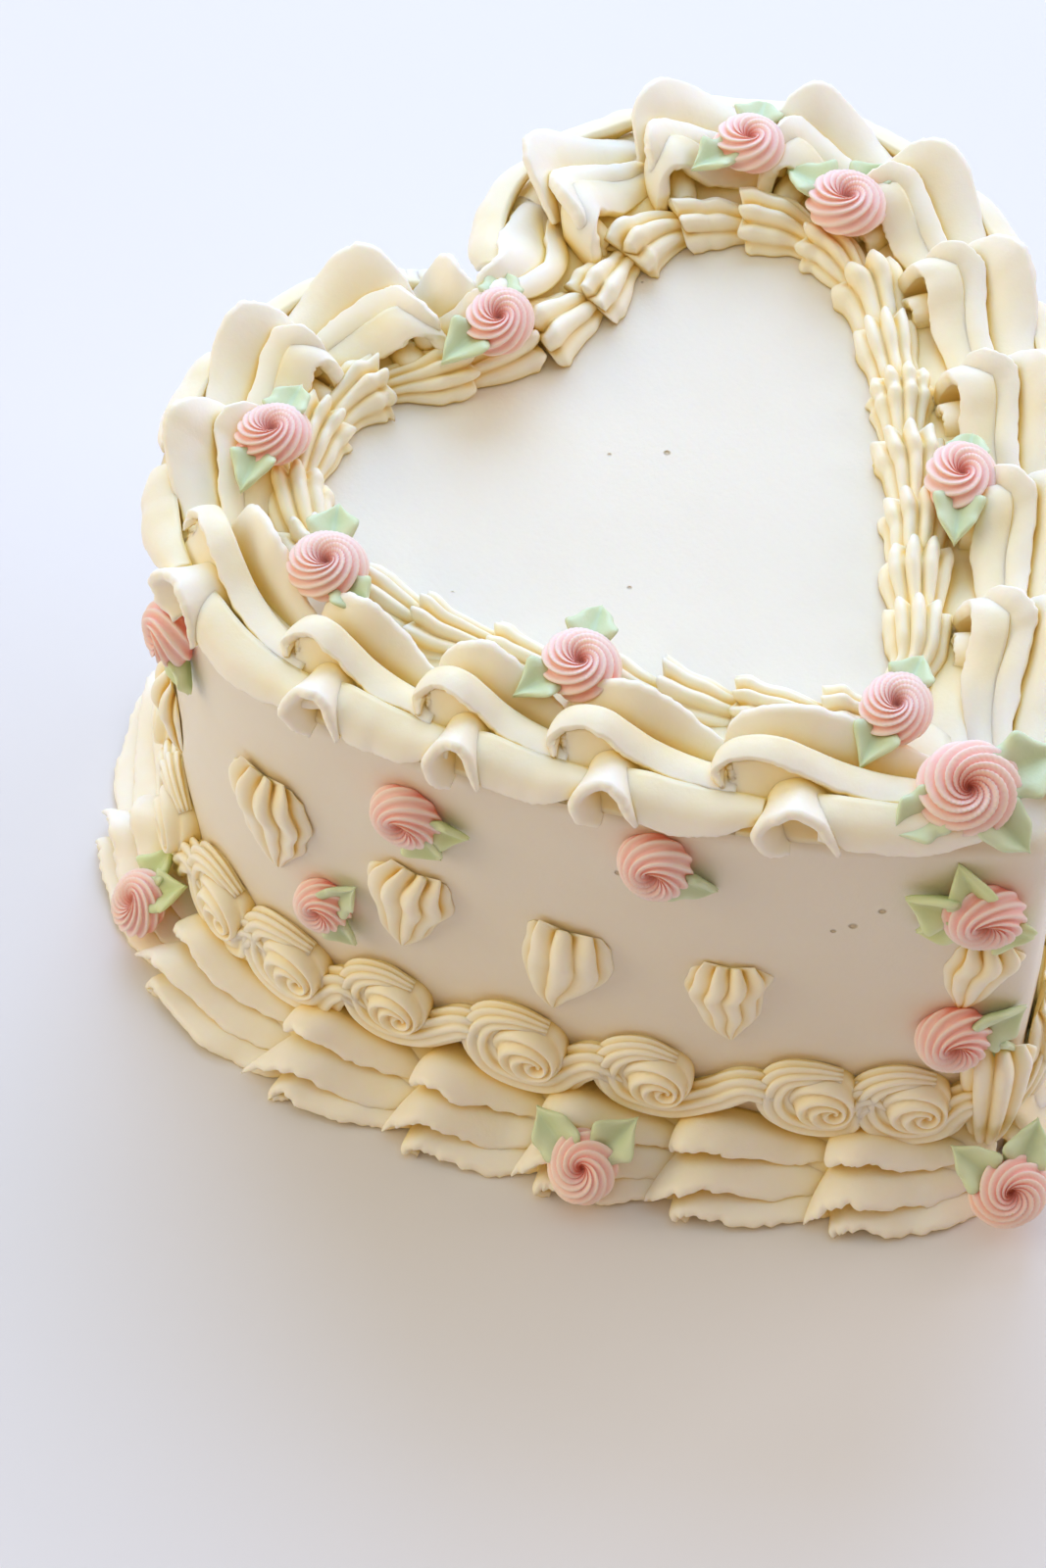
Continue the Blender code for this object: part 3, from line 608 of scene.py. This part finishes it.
# The base ruffles
# The same bladed tip laid on its side round the foot, so that three broad lips face outwards, one over the
# other. The lowest lies on the floor. The lips are torn, because the cream there was pulled along faster.
BASE_RAGGED = 2.1
BASE_SHEETS = [
    (
        [(0.15, 0.5, 13.5), (0.15, 0.5, 13.8), (0.3, 0.5, 13.2), (0.5, 0.5, 12), (0.75, 0.5, 10.2),
         (1.0, 0.5, 8.6), (1.2, 0.5, 7)],
        [(-0.04, 7.2, 9.4), (-0.02, 9.6, 12.6), (0.14, 10.6, 14.9), (0.38, 9.8, 11.8), (0.7, 7.2, 7.8),
         (0.95, 4.8, 6.2), (1.15, 3.0, 5.2)],
        0.95, 1.3, 0.0,
    ),
    (
        [(0.14, 2, 6.4), (0.17, 2, 7.8), (0.27, 2, 8.2), (0.45, 2, 7.6), (0.7, 2, 6.4), (1.0, 2, 5.2),
         (1.2, 2, 4.2)],
        [(-0.17, 16.2, 3.0), (-0.07, 16.0, 6.2), (0.09, 15.6, 9.0), (0.32, 14.6, 6.8), (0.66, 12.2, 3.4),
         (0.95, 9.2, 2.4), (1.15, 6.8, 2.2)],
        0.95, 1.2, 0.0,
    ),
    (
        [(0.16, 4, 2.4), (0.14, 4, 3.0), (0.28, 4, 3.4), (0.45, 4, 3), (0.7, 4, 2.4), (1.0, 4, 1.8),
         (1.2, 4, 1.2)],
        [(0.12, 16.4, 0.5), (0.03, 17.6, 1.4), (0.09, 17.4, 3.4), (0.28, 17.0, 2.4), (0.54, 16.4, 1.2),
         (0.82, 14.6, 0.8), (1.15, 11, 0.6)],
        1.0, 0.8, 0.0,
    ),
]
BASE_CORE = [(-0.5, 0), (9, 0), (9.5, 1.6), (7.5, 5), (4, 9.5), (1.6, 11.5), (-0.5, 12)]
BASE_STARTS_LEFT = [4, 34, 62, 90, 116, 141.5, 166, 189.5, 212.5, 239, 263]
BASE_STARTS_RIGHT = [6, 36, 65, 93, 121, 148, 175, 201, 232, 264]
for side, hand, starts in ((-1, "left", BASE_STARTS_LEFT), (1, "right", BASE_STARTS_RIGHT)):
    draw = random.Random(57 + side)
    border = new_form()
    for begin, end in zip(starts[:-1], starts[1:]):
        for sheet in BASE_SHEETS:
            frill(border, on_wall, side, begin * MM, (end - begin) * MM, 0.0, sheet, BASE_RAGGED, draw)
        bedding(border, on_wall, side, (begin + 2) * MM, min((end + 4) * MM, WALL_LENGTH), 0.0, BASE_CORE)
    finish_piece(f"base_ruffle_{hand}", border, ruffle_cream, [f"base_ruffles_{hand}"])

# The inner shells
# Shells from an open star tip round the smooth top: the cream wells up into a ridged head, the tip is
# drawn away along the border, and the tail goes under the next head.

# How far in from the wall's line the shells stand on each half, and how much further in near the point
SHELL_INSETS = {-1: 23.6 * MM, 1: 26.4 * MM}
SHELL_DRIFT = {-1: 0, 1: 2.6 * MM}
SHELL_POINT_R = 14 * MM
SHELL_CROWN_R = 40 * MM
SHELL_HALF_WIDE = 5.4
SHELL_RIDGES = {-1: (5, 6, 6), 1: (4, 5, 5)}
SHELL_HIGH = 7.6
SHELL_STEPS = 30
SHELL_SIDES = 66
SHELL_FOOT_SIDES = 6
INNER_SHELLS = 13
RUN_MARGIN = 1.5 * MM

# How the hand sways and the cream swells: how many times along a shell, and how much
SHELL_SWAY = (4, 0.7 * MM)
SHELL_SWELL = (9, 0.08)


def star_ring(count, ridges, phase, depth):
    """Round a half star with a flat foot: how far across, how high and how deep in a groove, in radii."""
    over = np.linspace(0, np.pi, count - SHELL_FOOT_SIDES)
    groove = 1 - np.abs(np.cos(over * ridges + phase)) ** 0.7
    reach = 1 - depth * groove * np.clip(np.sin(over) * 3, 0, 1)
    foot = np.linspace(-1, 1, SHELL_FOOT_SIDES + 2)[1:-1] * (1 - depth * 0.2)
    across = np.concatenate([reach * np.cos(over), foot])
    rise = np.concatenate([reach * np.sin(over), np.zeros(SHELL_FOOT_SIDES)])
    return across, rise, np.concatenate([groove, np.ones(SHELL_FOOT_SIDES)])


def star_shell(turned, ridges, depth, twist, widths, heights, forwards, tips, steps, count):
    """Rings of one shell in its own frame: forwards along it, across and up, with its grooves' depth.
    At the open head each ridge ends in a tip of its own, which stands back and up."""
    rows = []
    for step, (wide, high, forward) in enumerate(zip(widths, heights, forwards)):
        part = step / steps
        across, rise, groove = star_ring(count, ridges, turned + twist * part, depth)
        head = max(0, 1 - part / 0.3) ** 1.5
        back = tips * head * (1 - groove) * np.clip(rise * 3, 0, 1)
        lift = 1 + 0.16 * head * (1 - groove)
        rows.append(np.stack([forward - back, across * wide * lift, rise * high * lift, groove], 1))
    return np.array(rows)


# Buttercream from a star tip: pale on its ridges, with golden painted shade in the grooves between them
shell_cream = buttercream("star_tip_buttercream", "#fffae8", "#f6d67c", 0.46, 0.35, 0.62)
for side, hand in ((-1, "left"), (1, "right")):
    draw = random.Random(83 + side)
    shell_guide = heart_guide(SHELL_INSETS[side], SHELL_POINT_R, SHELL_CROWN_R)
    border = new_form()
    pitch = (shell_guide[0][-1] - 2 * RUN_MARGIN) / INNER_SHELLS
    for number in range(INNER_SHELLS):
        begin = RUN_MARGIN + pitch * (number + draw.uniform(-0.1, 0.1))
        grown = draw.uniform(0.9, 1.1)
        widths = smooth_path([1.0, 1.08, 1.02, 0.84, 0.62, 0.4], SHELL_STEPS) * SHELL_HALF_WIDE * MM * grown
        heights = smooth_path([0.95, 1.08, 1.0, 0.72, 0.42, 0.16], SHELL_STEPS) * SHELL_HIGH * MM * grown
        forwards = smooth_path([0.0, 0.12, 0.32, 0.66, 1.0, 1.32], SHELL_STEPS) * pitch
        rings = star_shell(
            draw.uniform(0, 3), draw.choice(SHELL_RIDGES[side]), draw.uniform(0.24, 0.32),
            draw.uniform(-0.3, 0.9) * side, widths, heights, forwards, draw.uniform(1.4, 2.8) * MM,
            SHELL_STEPS, SHELL_SIDES,
        )
        sway = wobble(draw, SHELL_STEPS, *SHELL_SWAY)[:, None]
        swell = 1 + wobble(draw, SHELL_STEPS, *SHELL_SWELL)[:, None]
        along = begin + rings[..., 0]
        drift = SHELL_DRIFT[side] * np.clip((along / shell_guide[0][-1] - 0.35) / 0.4, 0, 1)
        places = on_guide(
            shell_guide, side, along, rings[..., 1] * swell + sway - drift,
            CAKE_HEIGHT + rings[..., 2] * swell,
        )
        # Painted shade: the grooves and the flat foot get the deep tone
        add_sweep(border, np.concatenate([places, rings[..., 3:] * 0.8], axis=2))
    finish_piece(f"inner_shell_{hand}", border, shell_cream, [f"inner_shells_{hand}"])

# The rope scrolls
# A star tip run round the foot of the wall in one long line of curls: each curl winds out of its own
# centre, passes under itself and leaves as a wavy tail that ducks under the next. At the cake's point a
# tall shell on each side covers where the line starts and ends.
ROPE_HEIGHT = 23.6 * MM
ROPE_HUMPS_FROM_POINT = [17, 33, 62, 85, 110, 130, 147, 168, 190, 212, 234, 254]
HUMP_R = 6.6
HUMP_H = 7.0
HUMP_EYE = (1.9, -1.6)
HUMP_STARTS = 2
HUMP_TURNS = 3.4
HUMP_STEPS = 42
HUMP_COLUMNS = 96
BAND_STEPS = 54
BAND_SIDES = 60
BAND_RIDGES = 9
FULL_PITCH = 18
TAIL_ROOM = 4

# The corner shells: how far each is from the point in mm, and their size
CORNER_SHELLS = {-1: 3.5, 1: 9}
CORNER_SHELL_HEIGHT = 25 * MM
CORNER_SHELL_OUT = 1.0 * MM
CORNER_SHELL_R = 6.4 * MM
CORNER_SHELL_LONG = 32 * MM
CORNER_SHELL_TIPS = 2.2 * MM
SUNK = 0.2 * MM


def ridged_tube(bm, guide, side, middle, height, line, half_wide, half_thick, ridges, turned):
    """A ridged rope laid on the wall along a line of places: along, up and off the wall."""
    heading = np.gradient(line, axis=0)
    heading /= np.linalg.norm(heading, axis=1, keepdims=True)
    outward = np.array([0, 0, 1.0]) - heading * heading[:, 2:]
    outward /= np.linalg.norm(outward, axis=1, keepdims=True)
    beside = np.cross(outward, heading)
    around = np.linspace(0, 2 * np.pi, BAND_SIDES, endpoint=False)
    crest = np.abs(np.cos(around[None, :] * ridges / 2 + turned[:, None])) ** 0.9
    reach = 0.7 + 0.32 * crest
    spots = (
        line[:, None, :] + beside[:, None, :] * (reach * np.cos(around) * half_wide[:, None])[..., None]
        + outward[:, None, :] * (reach * np.sin(around) * half_thick[:, None])[..., None]
    )
    out = np.maximum(spots[..., 2], -0.6 * MM)
    places = on_guide(guide, side, middle + spots[..., 0], out, height + spots[..., 1])
    # Painted shade: the grooves between the band's ridges get the deep tone
    add_sweep(bm, np.concatenate([places, (1 - crest)[..., None] * 0.6], axis=2))


def rope_unit(bm, guide, side, middle, height, size, gap, draw):
    """One scroll: a hump of fine ridges round an eye at its lower edge, and the ridged band that comes
    round the hump, passes under it and leaves as a wave that ducks under the next."""
    # The band's middle line: ahead along the wall, up from the hump's middle and off the wall, in mm
    ahead = np.array([3.0, -2.5, -7.0, -8.6, -6.6, -1.6, 4.2, gap * 0.42, gap * 0.62, gap * 0.82, gap])
    rise = np.array([6.0, 7.4, 5.2, 0.0, -5.0, -7.4, -6.8, -2.4, 1.0, -1.0, -6.0])
    off = np.array([1.6, 1.8, 1.8, 1.9, 2.2, 2.2, 2.1, 2.0, 2.0, 1.6, 0.6])
    rise = rise + np.array([draw.uniform(-0.5, 0.5) for _ in rise])
    line = smooth_path(np.stack([ahead, rise, off], 1), BAND_STEPS) * size * MM
    half_wide = smooth_path([1.4, 2.6, 3.4, 3.8, 4.2, 4.3, 4.2, 4.0, 3.9, 3.6, 2.6], BAND_STEPS) * size * MM
    half_thick = smooth_path([1.4, 2.2, 2.8, 3.0, 3.2, 3.3, 3.2, 3.1, 3.0, 2.6, 1.6], BAND_STEPS) * size * MM
    turned = np.linspace(0, 0.8, BAND_STEPS + 1)
    ridged_tube(bm, guide, side, middle, height, line, half_wide, half_thick, BAND_RIDGES, turned)
    # The hump's rings go from its foot up to its eye
    around = np.linspace(0, 2 * np.pi, HUMP_COLUMNS, endpoint=False)
    rows = []
    rise_line = smooth_path([0.0, 0.3, 0.6, 0.84, 0.97, 1.0, 0.96, 0.88, 0.8], HUMP_STEPS)
    spread_line = smooth_path([0.96, 1.0, 0.96, 0.84, 0.66, 0.46, 0.28, 0.13, 0.02], HUMP_STEPS)
    for lift, spread in zip(rise_line, spread_line):
        wind = around * HUMP_STARTS + (1 - spread) * 2 * np.pi * HUMP_TURNS
        crest = np.abs(np.cos(wind / 2)) ** 1.2
        reach = HUMP_R * size * spread * (1 - 0.05 * (1 - crest)) * MM
        slide = (1 - spread) * size * MM
        x = reach * np.cos(around) + slide * HUMP_EYE[0]
        y = reach * np.sin(around) * 1.06 + slide * HUMP_EYE[1]
        z = (lift * HUMP_H * size - 1.3 * (1 - crest) * min(1, 2 * lift)) * MM
        places = on_guide(guide, side, middle + x, z - 0.4 * MM, height + 0.6 * MM + y)
        # Painted shade: the grooves between the hump's ridges get the deep tone
        rows.append(np.concatenate([places, (1 - crest)[:, None] * 0.6], axis=1))
    add_sweep(bm, np.array(rows))


def wall_frame(side, from_point, height, out=0.0, tilt=0.0, roll=0.0):
    """A frame standing on the wall: local Z leaves the wall, local Y is up, then tipped up and rolled."""
    spot = Vector(on_guide(wall_guide, side, WALL_LENGTH - from_point, out, height))
    ahead = Vector(on_guide(wall_guide, side, WALL_LENGTH - from_point, out + MM, height))
    outward = (ahead - spot).normalized()
    across = Vector((0, 0, 1)).cross(outward)
    stand = Matrix((across, Vector((0, 0, 1)), outward)).transposed().to_4x4()
    return Matrix.Translation(spot) @ stand @ Matrix.Rotation(-tilt, 4, "X") @ Matrix.Rotation(roll, 4, "Z")


def in_frame(frame, places):
    """Local places moved into a frame."""
    turn = np.array(frame.to_3x3())
    return places @ turn.T + np.array(frame.translation)


for side, hand in ((-1, "left"), (1, "right")):
    draw = random.Random(107 + side)
    border = new_form()
    humps = [WALL_LENGTH / MM - spot for spot in ROPE_HUMPS_FROM_POINT][::-1]
    for hump, following in zip(humps, humps[1:] + [WALL_LENGTH / MM + 2]):
        size = draw.uniform(0.94, 1.06) * min(1, (following - hump) / FULL_PITCH * 0.4 + 0.62)
        rope_unit(
            border, wall_guide, side, hump * MM, ROPE_HEIGHT + draw.uniform(-0.8, 0.8) * MM, size,
            (following - hump - TAIL_ROOM) / size, draw,
        )
    corner = wall_frame(side, CORNER_SHELLS[side] * MM, CORNER_SHELL_HEIGHT, CORNER_SHELL_OUT)
    widths = smooth_path([0.7, 0.98, 1.0, 0.94, 0.84, 0.7, 0.5, 0.2], SHELL_STEPS) * CORNER_SHELL_R
    heights = smooth_path([0.3, 0.9, 1.0, 0.94, 0.84, 0.7, 0.5, 0.2], SHELL_STEPS) * CORNER_SHELL_R
    forwards = smooth_path(
        [-0.42, -0.38, -0.26, -0.08, 0.1, 0.28, 0.44, 0.58], SHELL_STEPS
    ) * CORNER_SHELL_LONG
    rings = star_shell(
        0.3, 4, 0.32, 0.5, widths, heights, forwards, CORNER_SHELL_TIPS, SHELL_STEPS, SHELL_SIDES,
    )
    local = np.stack([rings[..., 1], -rings[..., 0], rings[..., 2] - SUNK], -1)
    # Painted shade: the corner shell's grooves and foot get the deep tone
    add_sweep(border, np.concatenate([in_frame(corner, local), rings[..., 3:]], axis=2))
    finish_piece(f"rope_scroll_{hand}", border, shell_cream, [f"rope_scrolls_{hand}"])

# The wall shells
# Single shells pressed onto the wall with the star tip and pulled downwards to a point, each one by hand,
# so that every one tilts its own way. The scalloped head stands off the wall.

# Each one's half of the heart, its distance from the point and its height in mm, then its size
WALL_SHELLS = [
    (-1, 176, 46, 0.9), (-1, 135, 62, 1.1), (-1, 108, 54, 1.0), (-1, 80, 50, 1.05), (-1, 51, 49, 0.95),
    (1, 51, 53, 1.0), (1, 80, 54, 0.95), (1, 105, 55, 1.05), (1, 136, 61, 1.0), (1, 178, 52, 1.0),
    (-1, 214, 52, 1.0), (1, 216, 54, 0.95), (-1, 9, 60, 0.8),
]
WALL_SHELL_LONG = 25 * MM
WALL_SHELL_HALF_WIDE = 7.4 * MM
WALL_SHELL_RISE = 5.0 * MM
WALL_SHELL_STEPS = 40
WALL_SHELL_SIDES = 84
WALL_SHELL_SWAY = (6, 0.9 * MM)
WALL_SHELL_SWELL = (10, 0.09)

draw = random.Random(211)
for number, (side, from_point, height, size) in enumerate(WALL_SHELLS, 1):
    frame_there = wall_frame(
        side, from_point * MM, height * MM, 0, 0, math.radians(draw.uniform(-12, 12))
    )
    steps = WALL_SHELL_STEPS
    widths = smooth_path([0.68, 0.94, 1.02, 1.0, 0.88, 0.68, 0.42, 0.12], steps) * WALL_SHELL_HALF_WIDE * size
    heights = smooth_path([0.3, 0.86, 1.08, 0.9, 0.72, 0.56, 0.38, 0.14], steps) * WALL_SHELL_RISE * size
    forwards = smooth_path([-0.36, -0.32, -0.22, -0.08, 0.1, 0.26, 0.4, 0.54], steps) * WALL_SHELL_LONG * size
    rings = star_shell(
        draw.uniform(-0.4, 0.4), draw.choice([4, 5]), 0.3, draw.uniform(-0.5, 0.5), widths, heights, forwards,
        draw.uniform(2.4, 3.4) * MM, steps, WALL_SHELL_SIDES,
    )
    sway = wobble(draw, steps, *WALL_SHELL_SWAY)[:, None]
    swell = 1 + wobble(draw, steps, *WALL_SHELL_SWELL)[:, None]
    local = np.stack([rings[..., 1] * swell + sway, -rings[..., 0], rings[..., 2] - SUNK], -1)
    shell = new_form()
    # Painted shade: the shell's grooves and foot get the deep tone
    add_sweep(shell, np.concatenate([in_frame(frame_there, local), rings[..., 3:]], axis=2))
    finish_piece(f"star_shell_{number:02d}", shell, shell_cream, [f"wall_shell_{number:02d}"])

# The roses
# Pink buttercream swirled with a small star tip: ridges wind in from the rim to a sunken eye. The stronger
# salmon in the grooves and in the eye is painted shade, for the shade and the light that bounces down there.

# On top: half of the heart, distance from the point, out from the wall's line and up in mm, tilt, size, and
# the bearings of its leaves in degrees
TOP_FLOWERS = [
    (-1, 268.5, -12.5, 10.0, -8, 1.0, (48, 182)),
    (-1, 189, -20, 10.0, 6, 1.0, (34, 210)),
    (-1, 139, -20, 10.0, 8, 1.05, (46, 266)),
    (-1, 83, -19.5, 9.4, 8, 1.05, (30, 168)),
    (-1, 26, -20, 9.0, 8, 1.0, (23, 205)),
    (1, 189, -17, 10.0, 0, 1.0, (38, 177)),
    (1, 155, -23, 8.6, 0, 1.1, (9, 94)),
    (1, 69, -22, 8.6, 0, 1.05, (38, 223)),
    (-1, 14, -7, 6.6, 34, 1.3, (177, 340, 280)),
]

# On the wall: half, distance from the point and height, size, bearings
WALL_FLOWERS = [
    (-1, 160, 89, 1.0, (290,)),
    (-1, 107, 83, 1.0, (345, 300)),
    (-1, 124, 46, 0.9, (50, 310)),
    (-1, 64, 88, 1.05, (330,)),
    (-1, 10, 81, 1.1, (115, 165, 215, 320)),
    (-1, 12, 44, 1.1, (30, 330)),
    (1, 60, 84, 1.0, (210,)),
    (1, 104, 82, 1.0, (195, 255)),
    (1, 125, 50, 0.95, (100,)),
    (1, 158, 80, 1.0, (250, 190)),
    (1, 212, 82, 1.0, (300, 230)),
    (-1, 210, 82, 1.0, (210, 320)),
    (1, 7, 90, 0.9, (330,)),
]

# On the base ruffles: half, distance from the point, out and height, size, bearings
BASE_FLOWERS = [
    (-1, 162, 11, 9.0, 1.0, (60, 110)),
    (-1, 72, 13.5, 8.6, 1.05, (50, 140)),
    (-1, 2.5, 12, 9.2, 1.1, (60, 130)),
    (1, 76, 14, 8.0, 1.0, (40, 140)),
    (1, 160, 11.5, 9.0, 1.05, (70, 150)),
    (1, 234, 11, 9.2, 1.0, (60, 120)),
]
BASE_FLOWER_LIFT = math.radians(42)
ROSE_R = 6.4 * MM
ROSE_H = 6.4 * MM
ROSE_OVAL = 0.05
ROSE_TIP = 0.3 * MM
ROSE_COLUMNS = 132
ROSE_ROWS = 40
ANY_TURN = (0, 6.28)


def top_frame(side, from_point, out, up, tilt):
    """A frame on the top border: local Z up, then tipped outwards."""
    spot = Vector(on_guide(wall_guide, side, WALL_LENGTH - from_point, out, CAKE_HEIGHT + up))
    ahead = Vector(on_guide(wall_guide, side, WALL_LENGTH - from_point, out + MM, CAKE_HEIGHT + up))
    across = (ahead - spot).normalized().cross(Vector((0, 0, 1)))
    return Matrix.Translation(spot) @ Matrix.Rotation(-math.radians(tilt), 4, across)


def rose_rings(radius, height, ridges, draw):
    """A rosette: rings from the foot over the shoulder to the eye, with ridges that wind as they go in."""
    # Ring by ring: how far out and up, how far wound, how deep the grooves are, and how much painted shade
    # the middle gets
    around = np.linspace(0, 2 * np.pi, ROSE_COLUMNS, endpoint=False)
    spread = smooth_path([0.84, 0.97, 1.0, 0.9, 0.72, 0.5, 0.3, 0.14, 0.03], ROSE_ROWS)
    rise = smooth_path([0.0, 0.16, 0.4, 0.68, 0.88, 0.97, 0.9, 0.72, 0.56], ROSE_ROWS)
    twist = smooth_path([0.0, 0.35, 0.85, 1.5, 2.3, 3.2, 4.2, 5.4, 6.8], ROSE_ROWS)
    depth = smooth_path([0.06, 0.1, 0.13, 0.15, 0.17, 0.2, 0.24, 0.28, 0.2], ROSE_ROWS)
    eye = smooth_path([0.25, 0.1, 0.0, 0.0, 0.0, 0.05, 0.25, 0.6, 0.9], ROSE_ROWS)
    lean = draw.uniform(*ANY_TURN)
    rows = []
    for s, r, w, d, e in zip(spread, rise, twist, depth, eye):
        wind = around * ridges - w * ridges
        crest = np.abs(np.cos(wind / 2)) ** 2.6
        oval = 1 + ROSE_OVAL * np.cos(2 * (around - lean))
        reach = radius * s * oval * (1 - d * (1 - crest))
        tipped = ROSE_TIP * s * np.cos(around - lean) * r
        level = height * (r - 0.5 * d * (1 - crest) * min(1, r * 2)) + tipped
        shade = np.clip(e + 0.5 * (1 - crest), 0, 1)
        rows.append(np.stack([reach * np.cos(around), reach * np.sin(around), level, shade], 1))
    return np.array(rows)


# Tinted buttercream: pale pink ridges, with salmon painted shade in the grooves and the eye
rose_cream = buttercream("pink_buttercream", "#ffe7e2", "#f58a76", 0.45, 0.4, 0.58)
flowers = []
for number, (side, from_point, out, up, tilt, size, bearings) in enumerate(TOP_FLOWERS, 1):
    there = top_frame(side, from_point * MM, out * MM, up * MM, tilt)
    flowers.append((f"top_flower_{number:02d}", there, size, bearings))
for number, (side, from_point, height, size, bearings) in enumerate(WALL_FLOWERS, 1):
    there = wall_frame(side, from_point * MM, height * MM)
    flowers.append((f"wall_flower_{number:02d}", there, size, bearings))
for number, (side, from_point, out, height, size, bearings) in enumerate(BASE_FLOWERS, 1):
    there = wall_frame(side, from_point * MM, height * MM, out * MM, BASE_FLOWER_LIFT)
    flowers.append((f"base_flower_{number:02d}", there, size, bearings))
draw = random.Random(307)
for node, there, size, _ in flowers:
    rose = new_form()
    rings = rose_rings(ROSE_R * size, ROSE_H * size, draw.choice([7, 8, 8, 9]), draw)
    places = in_frame(there @ Matrix.Rotation(draw.uniform(*ANY_TURN), 4, "Z"), rings[..., :3])
    add_sweep(rose, np.concatenate([places, rings[..., 3:]], axis=2))
    finish_piece(node.replace("flower", "rose"), rose, rose_cream, [node])

# The leaves
# Mint green buttercream from a leaf tip, whose notch folds each leaf into a shallow V. A jog of the hand
# ripples it, and it is pulled away to a point.
LEAF_LONG = 8.2 * MM
LEAF_HALF_WIDE = 3.7 * MM
LEAF_HALF_THICK = 0.9 * MM
LEAF_STEPS = 26


def leaf_rings(size, draw):
    """A leaf in its own frame, growing along X: a folded and rippled blade with rounded edges."""
    steps = LEAF_STEPS
    part = np.linspace(0, 1, steps + 1)
    wide = LEAF_HALF_WIDE * size * smooth_path([0.6, 0.92, 1.04, 1.0, 0.78, 0.42, 0.05], steps)
    ripple = np.sin(part * draw.uniform(9, 13) + draw.uniform(0, 6))
    thick = LEAF_HALF_THICK * size * smooth_path([1.3, 1.3, 1.2, 1.0, 0.9, 0.8, 0.3], steps)
    droop = draw.uniform(0.5, 1.2)
    # The blade's section from edge to edge and back: across it, and on which of its faces
    across = np.array([-1, -0.66, -0.33, 0, 0.33, 0.66, 1, 0.66, 0.33, 0, -0.33, -0.66])
    upper = np.array([0, 1, 1, 1, 1, 1, 0, -1, -1, -1, -1, -1])
    rows = []
    for p, w, r, t in zip(part, wide, ripple, thick):
        fold = (np.abs(across) - 0.4) * w * 0.7
        wave = r * 0.9 * MM * size * np.abs(across) ** 1.5 * (1 - p)
        rise = fold + wave + upper * t + (1.5 * p - droop * 2.6 * p ** 2 + 0.9) * MM * size
        forward = p * LEAF_LONG * size - np.abs(across) * 0.6 * MM
        # Painted shade: over a steady quarter share, the deep tone grows towards the fold's crease in the
        # middle and rises and falls with the ripple
        tone = 0.25 + 0.35 * (1 - np.abs(across)) + 0.1 * r
        rows.append(np.stack([forward, across * w * (1 + 0.1 * r), rise, tone], 1))
    return rounded_rings(np.array(rows), 2)


# Tinted buttercream in two mixes, because the colour was never stirred in quite evenly
leaf_creams = [
    buttercream("mint_buttercream", "#dbe9cb", "#b6cf9e", 0.46, 0.3, 0.55),
    buttercream("lime_buttercream", "#e0edc2", "#bfd58f", 0.46, 0.3, 0.55),
]
draw = random.Random(401)
for node, there, size, bearings in flowers:
    leaves = new_form()
    for bearing in bearings:
        turned = there @ Matrix.Rotation(math.radians(bearing + draw.uniform(-6, 6)), 4, "Z")
        root = Matrix.Translation((ROSE_R * size * 0.62, 0, 1.0 * MM))
        rings = leaf_rings(size * draw.uniform(0.9, 1.1), draw)
        places = in_frame(turned @ root, rings[..., :3])
        add_sweep(leaves, np.concatenate([places, rings[..., 3:]], axis=2))
    tone = leaf_creams[draw.choice([0, 0, 1])]
    finish_piece(node.replace("flower", "leaves"), leaves, tone, [node])

# The floor, the light and the camera
# A plain pale floor in a warm, dim room. Cool daylight comes down from the ceiling and in through a window
# behind, and softer windows stand at the right and the left.
FLOOR_HALF = 4.0
floor_mesh = bmesh.new()
bmesh.ops.create_grid(floor_mesh, x_segments=1, y_segments=1, size=FLOOR_HALF)
floor_data = bpy.data.meshes.new("pale_floor")
floor_mesh.to_mesh(floor_data)
floor_mesh.free()
floor = bpy.data.objects.new("pale_floor", floor_data)
bpy.context.scene.collection.objects.link(floor)
matt = bpy.data.materials.new("matt_white_paint")
matt.use_nodes = True
matt.node_tree.nodes["Principled BSDF"].inputs["Base Color"].default_value = srgb("#e6e6eb")
matt.node_tree.nodes["Principled BSDF"].inputs["Roughness"].default_value = 0.7
floor_data.materials.append(matt)

world = bpy.data.worlds.new("overcast_room")
world.use_nodes = True
world.node_tree.nodes["Background"].inputs["Color"].default_value = srgb("#ffcf9d")
world.node_tree.nodes["Background"].inputs["Strength"].default_value = 0.43
bpy.context.scene.world = world

# Each light's place in metres, width, power in watts and colour. All of them face the cake's middle.
LIT_SPOT = Vector((0, 0, 0.05))
LIGHTS = [
    ("ceiling_bounce", (0.0, 0.0, 2.0), 2.2, 14.5, "#a3e0ff"),
    ("back_window", (0.95, 1.2, 1.3), 1.6, 37.0, "#b0d2ff"),
    ("right_window", (1.5, -0.5, 0.9), 1.2, 9.9, "#f9f6ff"),
    ("left_window", (-1.3, 0.9, 0.9), 1.2, 10.6, "#fff4cc"),
]
for name, spot, width, power, colour in LIGHTS:
    lamp = bpy.data.lights.new(name, "AREA")
    lamp.energy = power
    lamp.size = width
    lamp.color = srgb(colour)[:3]
    light = bpy.data.objects.new(name, lamp)
    bpy.context.scene.collection.objects.link(light)
    light.location = spot
    light.rotation_euler = (LIT_SPOT - Vector(spot)).to_track_quat("-Z", "Y").to_euler()

# Where the photo was taken from and what it was aimed at, in metres
EYE = Vector((-0.3212, -0.3516, 0.6736))
TARGET = Vector((-0.0159, 0.0321, 0))
lens = bpy.data.cameras.new("photo_view")
lens.lens = 100
lens.sensor_fit = "VERTICAL"
lens.sensor_height = 36
lens.clip_start = 0.01
camera = bpy.data.objects.new("photo_view", lens)
bpy.context.scene.collection.objects.link(camera)
camera.location = EYE
camera.rotation_euler = (TARGET - EYE).to_track_quat("-Z", "Y").to_euler()
bpy.context.scene.camera = camera
bpy.context.scene.view_settings.view_transform = "Standard"
